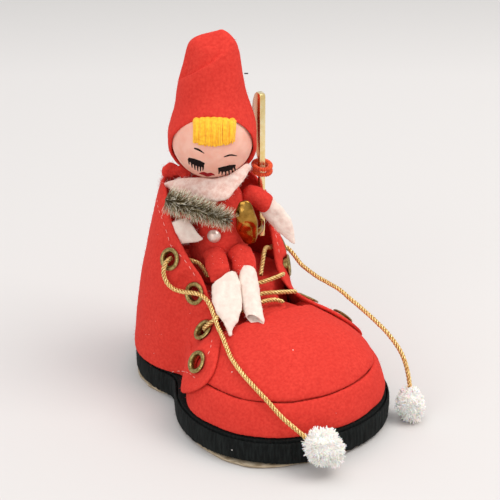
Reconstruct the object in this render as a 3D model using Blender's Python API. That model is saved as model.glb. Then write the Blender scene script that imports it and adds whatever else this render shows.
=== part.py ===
"""Elf figurine: a felt elf sitting in a lace-up felt boot, on a cardboard sole board.

Metres, +Z up. The toe of the boot points to -Y and the elf's left is +X.
The origin is the middle of the sole board's underside.
"""
import math

import bmesh
import bpy
from mathutils import Matrix, Vector

MM = 0.001
GAP = 0.3 * MM
SEAM_GAP = 0.2 * MM

# Sole: a toe round and a heel round, joined by a hollow waist
TOE_HALF_WIDTH = 45 * MM
TOE_LENGTH = 43.5 * MM
TOE_SQUARENESS = 2.2
TOE_Y = -20.6 * MM
HEEL_RADIUS = 35.7 * MM
HEEL_Y = 28 * MM
WAIST_FILLET = 10 * MM
BOARD_THICKNESS = 1.4 * MM
BOARD_LEDGE = 1.0 * MM
BAND_THICKNESS = 1.3 * MM
BAND_HEIGHT = 10.0 * MM

# Toe of the boot, a felt dome in two pieces over a stuffed form
UPPER_INSET = 3.0 * MM
TOE_REAR_LENGTH = 30 * MM
TOE_HEIGHT = 31 * MM
TOE_RISE = 0.1
TOE_SEAM_ANGLE = 27
VAMP_THROAT_Y = -14 * MM
VAMP_WING_Y = 4 * MM
FELT = 1.5 * MM
TONGUE_ROOM_Z = 39.8 * MM

# Shaft of the boot, two felt quarters that meet in a seam at the back
SHAFT_BOTTOM_RADIUS = 35.3 * MM
SHAFT_MIDDLE_RADIUS = 30.4 * MM
SHAFT_TOP_RADIUS = 22 * MM
SHAFT_TOP_Z = 86.5 * MM
STUFFING_TOP_Z = 45 * MM

# Lacing
EYELET_RADIUS = 4.9 * MM
EYELET_HOLE = 2.7 * MM
EYELET_WALL = 0.4 * MM
EYELET_RISE = 1.0 * MM
EYELET_SEAT = 0.45 * MM
LACE_RADIUS = 0.9 * MM
POMPOM_RADIUS = 5.2 * MM
POMPOM_HALF_LENGTH = 7.0 * MM

# Elf
TURN = math.radians(-34)
TORSO_X = -1 * MM
TORSO_Y = 24 * MM
TORSO_RADIUS = 12.6 * MM
NECK_RADIUS = 7.5 * MM
NECK_Z = 88.6 * MM
HEAD_RADIUS = 16.7 * MM
HEAD_X = -0.6 * MM
HEAD_Y = 28.4 * MM
HAT_FELT = 1.2 * MM
HAT_HEIGHT = 45.8 * MM
BRIM_SLOPE = math.radians(65)
BRIM_FORWARD = 3.5 * MM
BRIM_DROP = 2.5 * MM
FACE_TILT = math.radians(25)
FRINGE_TOP = 10.0 * MM
FRINGE_BOTTOM = -4.6 * MM
FRINGE_LEFT = -8.0 * MM
FRINGE_RIGHT = 9.6 * MM
COLLAR_RADIUS = 17.5 * MM
COLLAR_FELT = 1.3 * MM
LEG_RADIUS = 4.75 * MM
SLEEVE_RADIUS = 4.6 * MM
HAND_HALF_WIDTH = 4.8 * MM
HAND_HALF_THICKNESS = 1.3 * MM
FOOT_HALF_WIDTH = 5.3 * MM
FOOT_HALF_THICKNESS = 1.6 * MM
BUTTON_RADIUS = 2.9 * MM
BUTTON_Z = 69.2 * MM
BUTTON_TURN = math.radians(-40.3)

# Held things
TREE_BASE = (-27.6, 22.0, 87.0)
TREE_TIP = (-7.0, 4.8, 78.6)
TREE_LENGTH = 27 * MM
TREE_BASE_RADIUS = 6.6 * MM
TREE_TIP_RADIUS = 4.0 * MM
HARP_THICKNESS = 2.4 * MM
HARP_TOP_Z = 123 * MM
HARP_FOOT_Z = 60 * MM
HARP_BOX_HALF_WIDTH = 4.5 * MM
TIE_RADIUS = 0.8 * MM

# Rings of the hat above the brow: height, reach to its two sides, half depth, lean back, in mm
HAT_SHAPE = [(5.5, 18.3, 18.3, 18.0, 0.8), (10.7, 16.7, 17.3, 16.9, 2.5), (15.7, 15.5, 15.7, 15.7, 4.2),
             (19.1, 14.9, 14.0, 14.5, 5.0), (25.6, 13.3, 12.7, 13.0, 5.5), (32.1, 11.6, 11.9, 11.4, 5.8),
             (38.7, 10.0, 10.4, 9.0, 6.0), (40.9, 8.9, 9.6, 7.0, 6.0), (43.0, 4.6, 8.0, 4.6, 6.0),
             (44.8, -0.6, 6.0, 2.4, 6.0), (45.8, -3.4, 4.4, 0.6, 6.0)]

UPPER_BASE_Z = BOARD_THICKNESS + GAP + BAND_HEIGHT + GAP
LIFT = GAP + FELT
HEAD_Z = NECK_Z + GAP + HEAD_RADIUS
TOE_WIDE = TOE_HALF_WIDTH - UPPER_INSET
TOE_LONG = TOE_LENGTH - UPPER_INSET


def mm(x, y, z):
    """A point given in millimetres."""
    return Vector((x, y, z)) * MM


def material(name, colour, roughness, metallic=0.0):
    """A plain Principled material."""
    made = bpy.data.materials.new(name)
    made.use_nodes = True
    shader = made.node_tree.nodes["Principled BSDF"]
    shader.inputs["Base Color"].default_value = (*colour, 1.0)
    shader.inputs["Roughness"].default_value = roughness
    shader.inputs["Metallic"].default_value = metallic
    return made


def add_mesh(name, points, faces, look, crease=40):
    """One closed mesh object with outward faces, smooth where it is round."""
    mesh = bpy.data.meshes.new(name)
    mesh.from_pydata([tuple(p) for p in points], [], faces)
    work = bmesh.new()
    work.from_mesh(mesh)
    bmesh.ops.recalc_face_normals(work, faces=work.faces)
    work.to_mesh(mesh)
    work.free()
    mesh.shade_smooth()
    mesh.set_sharp_from_angle(angle=math.radians(crease))
    mesh.materials.append(look)
    made = bpy.data.objects.new(name, mesh)
    bpy.context.collection.objects.link(made)
    return made


def boolean(target, other, operation):
    """Join or cut with another object, which is left as a hidden guide."""
    step = target.modifiers.new(operation.title(), "BOOLEAN")
    step.operation = operation
    step.solver = "EXACT"
    step.object = other
    other.hide_render = True
    other.display_type = "WIRE"


def strip(rows, closed_rows=True):
    """Faces between neighbouring rows of equal length."""
    size = len(rows[0])
    faces = []
    for i in range(len(rows) - 1):
        for j in range(size if closed_rows else size - 1):
            k = (j + 1) % size
            faces.append((i * size + j, i * size + k, (i + 1) * size + k, (i + 1) * size + j))
    return faces


def loft(name, rings, look, crease=40):
    """A solid skinned over closed rings, with a flat or pointed cap on each end."""
    points = [p for ring in rings for p in ring]
    faces = strip(rings)
    size = len(rings[0])
    faces.append(tuple(range(size)))
    faces.append(tuple(range(len(points) - size, len(points))))
    return add_mesh(name, points, faces, look, crease)


def turned_ring(name, profile, look, segments=16, crease=40):
    """A closed profile of (radius, height) points, turned about local Z."""
    rings = []
    for i in range(segments):
        a = math.tau * i / segments
        rings.append([Vector((r * math.cos(a), r * math.sin(a), z)) for r, z in profile])
    rings.append(rings[0])
    points = [p for ring in rings[:-1] for p in ring]
    size = len(profile)
    faces = [tuple(n % len(points) for n in face) for face in strip(rings)]
    return add_mesh(name, points, faces, look, crease)


def turned_solid(name, profile, look, segments=24, crease=40):
    """An open profile of (radius, height) points whose first and last lie on local Z."""
    points = [Vector((0, 0, profile[0][1]))]
    for r, z in profile[1:-1]:
        points += [Vector((r * math.cos(math.tau * i / segments), r * math.sin(math.tau * i / segments), z))
                   for i in range(segments)]
    points.append(Vector((0, 0, profile[-1][1])))
    faces = []
    last = len(points) - 1
    rows = len(profile) - 2
    for i in range(segments):
        k = (i + 1) % segments
        faces.append((0, 1 + i, 1 + k))
        for row in range(rows - 1):
            a = 1 + row * segments
            faces.append((a + i, a + segments + i, a + segments + k, a + k))
        a = 1 + (rows - 1) * segments
        faces.append((last, a + k, a + i))
    return add_mesh(name, points, faces, look, crease)


def sheet(name, outer, inner, look, crease=50):
    """A closed sheet between two open grids of points."""
    rows, size = len(outer), len(outer[0])
    points = [p for row in outer for p in row] + [p for row in inner for p in row]
    half = rows * size
    front = strip(outer, closed_rows=False)
    faces = list(front) + [tuple(n + half for n in reversed(f)) for f in front]
    border = [j for j in range(size)]
    border += [i * size + size - 1 for i in range(1, rows)]
    border += [(rows - 1) * size + j for j in range(size - 2, -1, -1)]
    border += [i * size for i in range(rows - 2, 0, -1)]
    for n, a in enumerate(border):
        b = border[(n + 1) % len(border)]
        faces.append((a, b, b + half, a + half))
    return add_mesh(name, points, faces, look, crease)


def smooth_route(stops, count):
    """Evenly spaced points on a smooth curve through the stops."""
    stops = [Vector(p) for p in stops]
    ends = [2 * stops[0] - stops[1]] + stops + [2 * stops[-1] - stops[-2]]
    fine = []
    for a, b, c, d in zip(ends, ends[1:], ends[2:], ends[3:]):
        for n in range(16):
            t = n / 16
            fine.append(0.5 * (2 * b + (c - a) * t + (2 * a - 5 * b + 4 * c - d) * t ** 2
                               + (3 * b - a - 3 * c + d) * t ** 3))
    fine.append(stops[-1])
    lengths = [0.0]
    for a, b in zip(fine, fine[1:]):
        lengths.append(lengths[-1] + (b - a).length)
    made = []
    at = 0
    for n in range(count):
        want = lengths[-1] * n / (count - 1)
        while at < len(fine) - 2 and lengths[at + 1] < want:
            at += 1
        span = lengths[at + 1] - lengths[at]
        made.append(fine[at].lerp(fine[at + 1], (want - lengths[at]) / span if span else 0.0))
    return made


def grid_normals(grid):
    """Unit normals of an open grid of points, from its rows and columns."""
    rows, size = len(grid), len(grid[0])
    made = []
    for i in range(rows):
        row = []
        for j in range(size):
            along = grid[i][min(j + 1, size - 1)] - grid[i][max(j - 1, 0)]
            across = grid[min(i + 1, rows - 1)][j] - grid[max(i - 1, 0)][j]
            row.append(along.cross(across).normalized())
        made.append(row)
    return made


def limb(name, stops, sections, across, look, count=8, segments=12):
    """A soft tube along a route, with (half width, half thickness) sections and round ends."""
    route = smooth_route(stops, count)
    rings = []
    for n, centre in enumerate(route):
        t = n / (count - 1)
        along = (route[min(n + 1, count - 1)] - route[max(n - 1, 0)]).normalized()
        side = (across - across.dot(along) * along).normalized()
        up = along.cross(side)
        place = t * (len(sections) - 1)
        low = min(int(place), len(sections) - 2)
        wide = sections[low][0] + (sections[low + 1][0] - sections[low][0]) * (place - low)
        thick = sections[low][1] + (sections[low + 1][1] - sections[low][1]) * (place - low)
        rings.append([centre + side * wide * math.cos(math.tau * i / segments)
                      + up * thick * math.sin(math.tau * i / segments) for i in range(segments)])
    start = sum(rings[0], Vector()) / segments
    end = sum(rings[-1], Vector()) / segments
    first = (route[0] - route[1]).normalized() * sections[0][1] * 0.35
    last = (route[-1] - route[-2]).normalized() * sections[-1][1] * 0.35
    rings.insert(0, [start + (p - start) * 0.7 + first for p in rings[0]])
    rings.append([end + (p - end) * 0.7 + last for p in rings[-1]])
    return loft(name, rings, look, crease=60)


def cord(name, stops, radius, look, count):
    """A round cord with filled ends, on a smooth curve through its stops."""
    curve = bpy.data.curves.new(name, "CURVE")
    curve.dimensions = "3D"
    curve.bevel_depth = radius
    curve.bevel_resolution = 2
    curve.use_fill_caps = True
    spline = curve.splines.new("POLY")
    points = smooth_route(stops, count)
    spline.points.add(len(points) - 1)
    for slot, point in zip(spline.points, points):
        slot.co = (*point, 1.0)
    curve.materials.append(look)
    made = bpy.data.objects.new(name, curve)
    bpy.context.collection.objects.link(made)
    return made


def sole_outline(inset):
    """The sole's outline as a closed list of (x, y), moved inwards by the inset."""
    wide, long = TOE_HALF_WIDTH - inset, TOE_LENGTH - inset
    heel = HEEL_RADIUS - inset
    fillet = WAIST_FILLET + inset
    apart = HEEL_Y - TOE_Y
    back = (apart ** 2 + (heel + fillet) ** 2 - (wide + fillet) ** 2) / (2 * apart)
    fillet_x = math.sqrt((heel + fillet) ** 2 - back ** 2)
    fillet_y = HEEL_Y - back
    toe_end = math.atan2(fillet_y - TOE_Y, fillet_x)
    heel_start = math.atan2(fillet_y - HEEL_Y, fillet_x)
    half = []
    for n in range(11):
        a = -math.pi / 2 * (1 - n / 11)
        half.append((wide * math.cos(a) ** (2 / TOE_SQUARENESS),
                     TOE_Y - long * (-math.sin(a)) ** (2 / TOE_SQUARENESS)))
    half[0] = (0.0, TOE_Y - long)
    for n in range(4):
        a = toe_end * n / 3
        half.append((wide * math.cos(a), TOE_Y + wide * math.sin(a)))
    for n in range(1, 4):
        a = math.pi + toe_end + (heel_start - toe_end) * n / 4
        half.append((fillet_x + fillet * math.cos(a), fillet_y + fillet * math.sin(a)))
    for n in range(12):
        a = heel_start + (math.pi / 2 - heel_start) * n / 12
        half.append((heel * math.cos(a), HEEL_Y + heel * math.sin(a)))
    half.append((0.0, HEEL_Y + heel))
    return half + [(-x, y) for x, y in half[-2:0:-1]]


def slab(name, inset, bottom, height, look):
    """A flat piece with the sole's outline."""
    outline = sole_outline(inset)
    rings = [[Vector((x, y, z)) for x, y in outline] for z in (bottom, bottom + height)]
    return loft(name, rings, look, crease=30)


def make_sole(card, foam, black_felt):
    """Sole board, its thick core and the felt band around the core."""
    slab("sole_board", 0.0, 0.0, BOARD_THICKNESS, card)
    bottom = BOARD_THICKNESS + GAP
    band_in = BOARD_LEDGE + BAND_THICKNESS
    slab("sole_core", band_in + GAP, bottom, BAND_HEIGHT, foam)
    outer, inner = sole_outline(BOARD_LEDGE), sole_outline(band_in)
    top = bottom + BAND_HEIGHT
    rings = [[Vector((*outer[i], bottom)), Vector((*outer[i], top)),
              Vector((*inner[i], top)), Vector((*inner[i], bottom))] for i in range(len(outer))]
    points = [p for ring in rings for p in ring]
    faces = [tuple(n % len(points) for n in face) for face in strip(rings + rings[:1])]
    add_mesh("sole_band", points, faces, black_felt, crease=30)


def toe_height(y):
    """Height of the toe's ridge over the sole; it rises a little towards the shaft."""
    return TOE_HEIGHT + TOE_RISE * max(y - TOE_Y, 0.0)


def toe_half_width(y, grow=0.0):
    """Half width of the toe's foot line behind its widest place."""
    share = (y - TOE_Y) / (TOE_REAR_LENGTH + grow)
    return (TOE_WIDE + grow) * math.sqrt(max(1 - share * share, 0.0))


def toe_reach(x, y, grow=0.0):
    """How far (x, y) lies from the toe's ridge, 1 being its foot line."""
    if y >= TOE_Y:
        return abs(x) / toe_half_width(y, grow)
    across = (abs(x) / (TOE_WIDE + grow)) ** TOE_SQUARENESS
    along = ((TOE_Y - y) / (TOE_LONG + grow)) ** TOE_SQUARENESS
    return (across + along) ** (1 / TOE_SQUARENESS)


def on_toe(x, y, lift):
    """The point over (x, y) that lies the lift above the toe's surface."""
    reach = min(toe_reach(x, y, lift), 1.0)
    z = UPPER_BASE_Z + (toe_height(y) + lift) * math.sqrt(1 - reach * reach)
    return Vector((x, y, z))


def beside_toe(side, y, z, lift):
    """The point on one side of the toe at (y, z), the lift outside its surface."""
    share = (z - UPPER_BASE_Z) / (toe_height(y) + lift)
    reach = math.sqrt(max(1 - share * share, 0.0))
    if y >= TOE_Y:
        return Vector((side * reach * toe_half_width(y, lift), y, z))
    along = ((TOE_Y - y) / (TOE_LONG + lift)) ** TOE_SQUARENESS
    across = max(reach ** TOE_SQUARENESS - along, 0.0) ** (1 / TOE_SQUARENESS)
    return Vector((side * across * (TOE_WIDE + lift), y, z))


def toe_foot_line(inset, rear, count):
    """Foot line of the toe from its rear left end round the front to its rear right end."""
    wide, long, back = TOE_WIDE - inset, TOE_LONG - inset, TOE_REAR_LENGTH - inset
    rear_angle = math.asin((rear - TOE_Y) / back)
    made = []
    for n in range(count):
        a = -rear_angle + (math.pi + 2 * rear_angle) * n / (count - 1)
        c, s = math.cos(a), math.sin(a)
        if s < 0:
            made.append((-wide * c, TOE_Y - back * s))
        else:
            power = 2 / TOE_SQUARENESS
            made.append((-math.copysign(wide * abs(c) ** power, c), TOE_Y - long * s ** power))
    return made


def toe_rows(inset, rear, angles, count):
    """Rows of points over the toe, one row for each elevation angle."""
    foot = toe_foot_line(inset, rear, count)
    rows = []
    for angle in angles:
        c, s = math.cos(math.radians(angle)), math.sin(math.radians(angle))
        row = []
        for x, y in foot:
            ridge = max(y, TOE_Y)
            height = toe_height(ridge) - inset
            row.append(Vector((x * c, ridge + (y - ridge) * c, UPPER_BASE_Z + height * s)))
        rows.append(row)
    return rows


def toe_shell(name, low_angle, high_angle, rows, count, look):
    """One felt piece of the toe between two elevation angles."""
    angles = [low_angle + (high_angle - low_angle) * n / rows for n in range(rows + 1)]
    outer = toe_rows(0.0, VAMP_WING_Y, angles, count)
    inner = toe_rows(FELT, VAMP_WING_Y, angles, count)
    return sheet(name, outer, inner, look)


def make_toe(red_felt, wadding):
    """Toe side, toe top with its throat cut, and the stuffing inside."""
    seam_half = math.degrees(GAP / 2 / TOE_HEIGHT)
    toe_shell("toe_side", 0.0, TOE_SEAM_ANGLE - seam_half, 3, 31, red_felt)
    top_rows = [TOE_SEAM_ANGLE + seam_half + (90 - TOE_SEAM_ANGLE - seam_half) * n / 7 for n in range(7)]
    foot = toe_rows(0.0, VAMP_WING_Y, top_rows, 31)
    under = toe_rows(FELT, VAMP_WING_Y, top_rows, 31)
    make_vamp(foot, under, red_felt)
    inset = FELT + GAP
    angles = [0, 15, 30, 45, 60, 75]
    rows = toe_rows(inset, VAMP_WING_Y, angles, 21)
    points = [p for row in rows for p in row]
    faces = strip(rows, closed_rows=False)
    size = len(rows[0])
    top = len(points) - size
    faces.append(tuple(range(size)))
    faces.append(tuple(top + j for j in range(size)))
    back = [i * size for i in range(len(rows))]
    back += [i * size + size - 1 for i in range(len(rows) - 1, -1, -1)]
    faces.append(tuple(back))
    stuffing = add_mesh("toe_stuffing", points, faces, wadding)
    corners = ((-TOE_WIDE, VAMP_THROAT_Y), (TOE_WIDE, VAMP_THROAT_Y), (TOE_WIDE, TOE_WIDE), (-TOE_WIDE, TOE_WIDE))
    room = [[Vector((x, y, z)) for x, y in corners] for z in (TONGUE_ROOM_Z, TONGUE_ROOM_Z + TOE_HEIGHT)]
    boolean(stuffing, loft("tongue_room", room, wadding), "DIFFERENCE")


def make_vamp(outer, inner, look):
    """The top of the toe: both slopes meet on the ridge, and a throat is cut at the back."""
    size = len(outer[0])
    middle = size // 2
    ridge_count = sum(1 for p in outer[0][:middle + 1] if p.y > TOE_Y)
    points = []
    faces = []
    for layer in (outer, inner):
        start = len(points)
        height_cut = 0.0 if layer is outer else FELT
        for row in layer:
            points += row
        for i in range(len(layer) - 1):
            for j in range(size - 1):
                a = start + i * size + j
                faces.append((a, a + 1, a + size + 1, a + size))
        crest = start + len(layer) * size
        for j in range(ridge_count):
            y = layer[0][j].y
            points.append(Vector((0, y, UPPER_BASE_Z + toe_height(y) - height_cut)))
        points.append(Vector((0, TOE_Y, UPPER_BASE_Z + TOE_HEIGHT - height_cut)))
        last = start + (len(layer) - 1) * size
        for j in range(ridge_count):
            faces.append((last + j, last + j + 1, crest + j + 1, crest + j))
            k = size - 1 - j
            faces.append((last + k, last + k - 1, crest + j + 1, crest + j))
        hub = crest + ridge_count
        for j in range(ridge_count, size - 1 - ridge_count):
            faces.append((last + j, last + j + 1, hub))
    half = len(points) // 2
    border = [j for j in range(size)]
    border += [i * size + size - 1 for i in range(1, len(outer))]
    border += [len(outer) * size]
    border += [i * size for i in range(len(outer) - 1, 0, -1)]
    for n, a in enumerate(border):
        b = border[(n + 1) % len(border)]
        faces.append((a, b, b + half, a + half))
    vamp = add_mesh("toe_top", points, faces, look)
    throat = []
    for z in (UPPER_BASE_Z + TOE_HEIGHT * 0.5, UPPER_BASE_Z + TOE_HEIGHT * 1.5):
        throat.append([Vector((x, y, z)) for x, y in throat_outline()])
    boolean(vamp, loft("throat_cutter", throat, look), "DIFFERENCE")


def throat_outline():
    """Outline of the throat opening in the toe top, from above."""
    half_width = TOE_WIDE * 0.52
    behind = VAMP_WING_Y + 4 * MM
    made = []
    for n in range(9):
        a = math.pi * (1 + n / 8)
        made.append((half_width * math.cos(a), VAMP_THROAT_Y + 5 * MM + 5 * MM * math.sin(a)))
    return [(-half_width, behind)] + made + [(half_width, behind)]


def shaft_radius(z):
    """Outer radius of the shaft at a height, from its bottom, middle and top radii."""
    t = (z - UPPER_BASE_Z) / (SHAFT_TOP_Z - UPPER_BASE_Z)
    drop = SHAFT_BOTTOM_RADIUS - SHAFT_TOP_RADIUS
    half_drop = SHAFT_BOTTOM_RADIUS - SHAFT_MIDDLE_RADIUS
    bend = 2 * drop - 4 * half_drop
    return SHAFT_BOTTOM_RADIUS - (drop - bend) * t - bend * t * t


def on_shaft(side, degrees, z):
    """A point on the shaft's outer face, the angle counted from the front."""
    a = math.radians(degrees)
    r = shaft_radius(z)
    return Vector((side * r * math.sin(a), HEEL_Y - r * math.cos(a), z))


def shaft_row(side, z, front_angle, front_z, rest):
    """One row of a quarter, from the back seam along the shaft and over its last points."""
    seam_angle = 180 - math.degrees(SEAM_GAP / shaft_radius(z))
    row = []
    for n in range(7):
        t = n / 6
        height = z + (front_z - z) * t * t
        row.append(on_shaft(side, seam_angle + (front_angle - seam_angle) * t, height))
    return row + rest


def quarter_rows(side):
    """The rows of one quarter's outer face, bottom to top, each ending at its front edge."""
    def beside(y, z):
        return beside_toe(side, y * MM, z * MM, LIFT + 2 * GAP)

    def over(x, y):
        return on_toe(side * x * MM, y * MM, LIFT + 2 * GAP)

    def free(x, y, z):
        return mm(side * x, y, z)

    top = SHAFT_TOP_Z
    base = UPPER_BASE_Z
    step = (top - base) / 74.5
    if side < 0:
        edge = {4: free(18.6, 1.2, 47.8), 5: free(20.6, 7.5, 56.5), 6: free(24.5, 17.5, 67.5),
                7: free(25.0, 24.5, 76.5)}
        end_angle, end_z = 107, top + 0.5 * MM
    else:
        edge = {4: free(16.0, 2.4, 47.5), 5: free(19.4, 12.0, 54.5), 6: free(23.2, 19.5, 66.5),
                7: free(24.6, 24.0, 77.0)}
        end_angle, end_z = 105, top - 1.5 * MM
    return [
        shaft_row(side, base, 52, base, [beside(-2, 13.2), beside(-9, 16.5), beside(-16, 20.5),
                                         beside(-22.4, 24.6)]),
        shaft_row(side, base + 10 * step, 54, base + 10 * step,
                  [beside(-3, 21.5), beside(-11, 24), beside(-18, 26.5), beside(-25.8, 30.6)]),
        shaft_row(side, base + 21 * step, 54, base + 21 * step,
                  [beside(-1, 32.3), beside(-9, 34.3), over(28, -17.8)]),
        shaft_row(side, base + 30 * step, 48, base + 29 * step, [over(20.5, -2.0), over(21, -8.0)]),
        shaft_row(side, base + 38 * step, 50, base + 37 * step, [edge[4]]),
        shaft_row(side, base + 47 * step, 66, base + 45 * step, [edge[5]]),
        shaft_row(side, base + 58 * step, 90, base + 57 * step, [edge[6]]),
        shaft_row(side, base + 67 * step, 100, base + 67 * step, [edge[7]]),
        shaft_row(side, top, end_angle + 8, top, [on_shaft(side, end_angle, end_z)]),
    ]


def quarter_grid(side, columns, rows):
    """Outer face of one quarter as an even grid of points, with its outward normals."""
    raw = [smooth_route(row, columns) for row in quarter_rows(side)]
    lines = [smooth_route([row[j] for row in raw], rows) for j in range(columns)]
    grid = [[lines[j][i] for j in range(columns)] for i in range(rows)]
    normals = grid_normals(grid)
    turn = 1 if side < 0 else -1
    return grid, [[n * turn for n in row] for row in normals]


def nearest(grid, normals, target):
    """The grid's point and normal that lie nearest to a target."""
    best = None
    for i, row in enumerate(grid):
        for j, point in enumerate(row):
            away = (point - target).length
            if best is None or away < best[0]:
                best = (away, point, normals[i][j])
    return best[1], best[2]


def eyelet_targets(side):
    """Where the four eyelets of one quarter sit, top to bottom."""
    if side < 0:
        upper = [mm(-25.6, 20.6, 60.5), mm(-23.0, 7.6, 49.6)]
    else:
        upper = [mm(29.3, 22.5, 51.5), mm(23.0, 10.2, 48.4)]
    lower = [on_toe(side * 25.5 * MM, -3.6 * MM, LIFT), beside_toe(side, -14.4 * MM, 31.0 * MM, LIFT)]
    return upper + lower


def make_quarters(red_felt, brass):
    """Both felt quarters with four punched holes each, and the brass eyelets in them."""
    barrel = EYELET_HOLE + EYELET_WALL
    profile = [(EYELET_HOLE, -FELT), (barrel, -FELT), (barrel, GAP), (EYELET_RADIUS, GAP),
               (EYELET_RADIUS - 0.3 * MM, GAP + EYELET_RISE * 0.6), (EYELET_RADIUS * 0.78, GAP + EYELET_RISE),
               (EYELET_HOLE + 0.2 * MM, GAP + EYELET_RISE * 0.5)]
    for side, label in ((-1, "right"), (1, "left")):
        grid, normals = quarter_grid(side, 21, 14)
        inner = [[p - n * FELT for p, n in zip(row, line)] for row, line in zip(grid, normals)]
        for row, line in zip(grid, inner):
            line[0].x = row[0].x
        quarter = sheet(f"quarter_{label}", grid, inner, red_felt)
        fine, fine_normals = quarter_grid(side, 90, 70)
        for n, target in enumerate(eyelet_targets(side)):
            point, out = nearest(fine, fine_normals, target)
            turn = out.to_track_quat("Z", "Y").to_matrix().to_4x4()
            place = Matrix.Translation(point + out * EYELET_SEAT) @ turn
            eyelet = turned_ring(f"eyelet_{label}_{n + 1}", profile, brass, segments=12)
            eyelet.matrix_world = place
            cut = turned_solid(f"punch_{label}_{n + 1}",
                               [(0, -4 * MM), (barrel + GAP, -4 * MM), (barrel + GAP, 4 * MM), (0, 4 * MM)],
                               brass, segments=16)
            cut.matrix_world = place
            boolean(quarter, cut, "DIFFERENCE")


def make_shaft_inside(wadding, red_felt):
    """Stuffing in the shaft that the elf sits on, and the tongue in front of it."""
    rows = []
    for n in range(5):
        z = UPPER_BASE_Z + (STUFFING_TOP_Z - UPPER_BASE_Z) * n / 4
        radius = shaft_radius(z) - FELT - 4 * GAP
        ring = []
        for k in range(28):
            a = math.tau * k / 28
            y = max(HEEL_Y - radius * math.cos(a), VAMP_WING_Y + 2 * GAP)
            ring.append(Vector((radius * math.sin(a), y, z)))
        rows.append(ring)
    loft("shaft_stuffing", rows, wadding)
    half_width = 11.5 * MM
    path = smooth_route([mm(0, -12.85, 41.7), mm(0, -6, 43.4), mm(0, 0, 45.9), mm(0, 5, 47.9)], 9)
    outer = [[p + Vector((half_width * k / 4, 0, 0)) for k in range(-4, 5)] for p in path]
    inner = [[p - Vector((0, 0, FELT * 0.8)) for p in row] for row in outer]
    sheet("tongue", outer, inner, red_felt)


def facing(forward, right, up):
    """A direction in the elf's own turned frame."""
    front = Vector((math.sin(TURN), -math.cos(TURN), 0))
    beside = Vector((math.cos(TURN), math.sin(TURN), 0))
    return front * forward + beside * right + Vector((0, 0, up))


def torso_shape(name, grow, look):
    """The stuffed torso, widest at the hips and drawn in at the neck, grown by a margin."""
    low = STUFFING_TOP_Z + GAP
    span = NECK_Z - low
    rings = []
    for share, size in ((0.0, 0.82), (0.06, 0.94), (0.3, 1.0), (0.6, 0.98), (0.78, 0.9), (0.9, 0.76), (1.0, None)):
        radius = (NECK_RADIUS if size is None else TORSO_RADIUS * size) + grow
        rings.append([Vector((TORSO_X + radius * math.cos(math.tau * k / 24),
                              TORSO_Y + radius * math.sin(math.tau * k / 24), low + span * share))
                      for k in range(24)])
    return loft(name, rings, look)


def head_shape(name, grow, look):
    """The ball of the head, grown by a margin."""
    radius = HEAD_RADIUS + grow
    steps = 10
    profile = [(radius * math.sin(math.pi * n / steps), -radius * math.cos(math.pi * n / steps))
               for n in range(steps + 1)]
    ball = turned_solid(name, profile, look, segments=20)
    ball.location = (HEAD_X, HEAD_Y, HEAD_Z)
    return ball


def make_body(red_felt, skin, white_felt, yarn, pearl, iron):
    """Torso, legs, head, hat, fringe, collar and button."""
    torso_shape("torso", 0.0, red_felt)
    head = Vector((HEAD_X, HEAD_Y, HEAD_Z))
    head_shape("head", 0.0, skin)
    make_hat(head, red_felt, iron)
    make_fringe(head, yarn)
    make_collar(white_felt)
    out = Vector((math.sin(BUTTON_TURN), -math.cos(BUTTON_TURN), 0))
    chest = Vector((TORSO_X, TORSO_Y, BUTTON_Z)) + out * (TORSO_RADIUS + GAP)
    dome = [(0, 0)] + [(BUTTON_RADIUS * math.cos(a), 0.9 * MM + (BUTTON_RADIUS - 0.9 * MM) * math.sin(a))
                       for a in (-0.5, 0.0, 0.35, 0.7, 1.1)] + [(0, BUTTON_RADIUS)]
    dome[1] = (BUTTON_RADIUS * 0.85, 0)
    button = turned_solid("pearl_button", dome, pearl, segments=14)
    button.matrix_world = Matrix.Translation(chest) @ out.to_track_quat("Z", "Y").to_matrix().to_4x4()


def hat_ring(head, height, left, right, depth, lean):
    """One ring of the hat, from its reach to each side, its half depth and its lean back."""
    middle, half = (right - left) / 2, (right + left) / 2
    ring = []
    for k in range(22):
        a = math.tau * k / 22
        ring.append(head + facing(depth * math.cos(a) - lean, middle + half * math.sin(a), height))
    return ring


def below_brim(name, head, clear, look):
    """A large block on the face's side of the slanting brim, set off from it by a clearance."""
    normal = facing(-math.sin(BRIM_SLOPE), 0, math.cos(BRIM_SLOPE))
    half = 60 * MM
    corners = ((-half, -half), (half, -half), (half, half), (-half, half))
    block = loft(name, [[Vector((x, y, z)) for x, y in corners] for z in (-2 * half, -clear)], look)
    brim_at = head + facing(BRIM_FORWARD, 0, -BRIM_DROP)
    block.matrix_world = Matrix.Translation(brim_at) @ normal.to_track_quat("Z", "Y").to_matrix().to_4x4()
    return block


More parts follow.
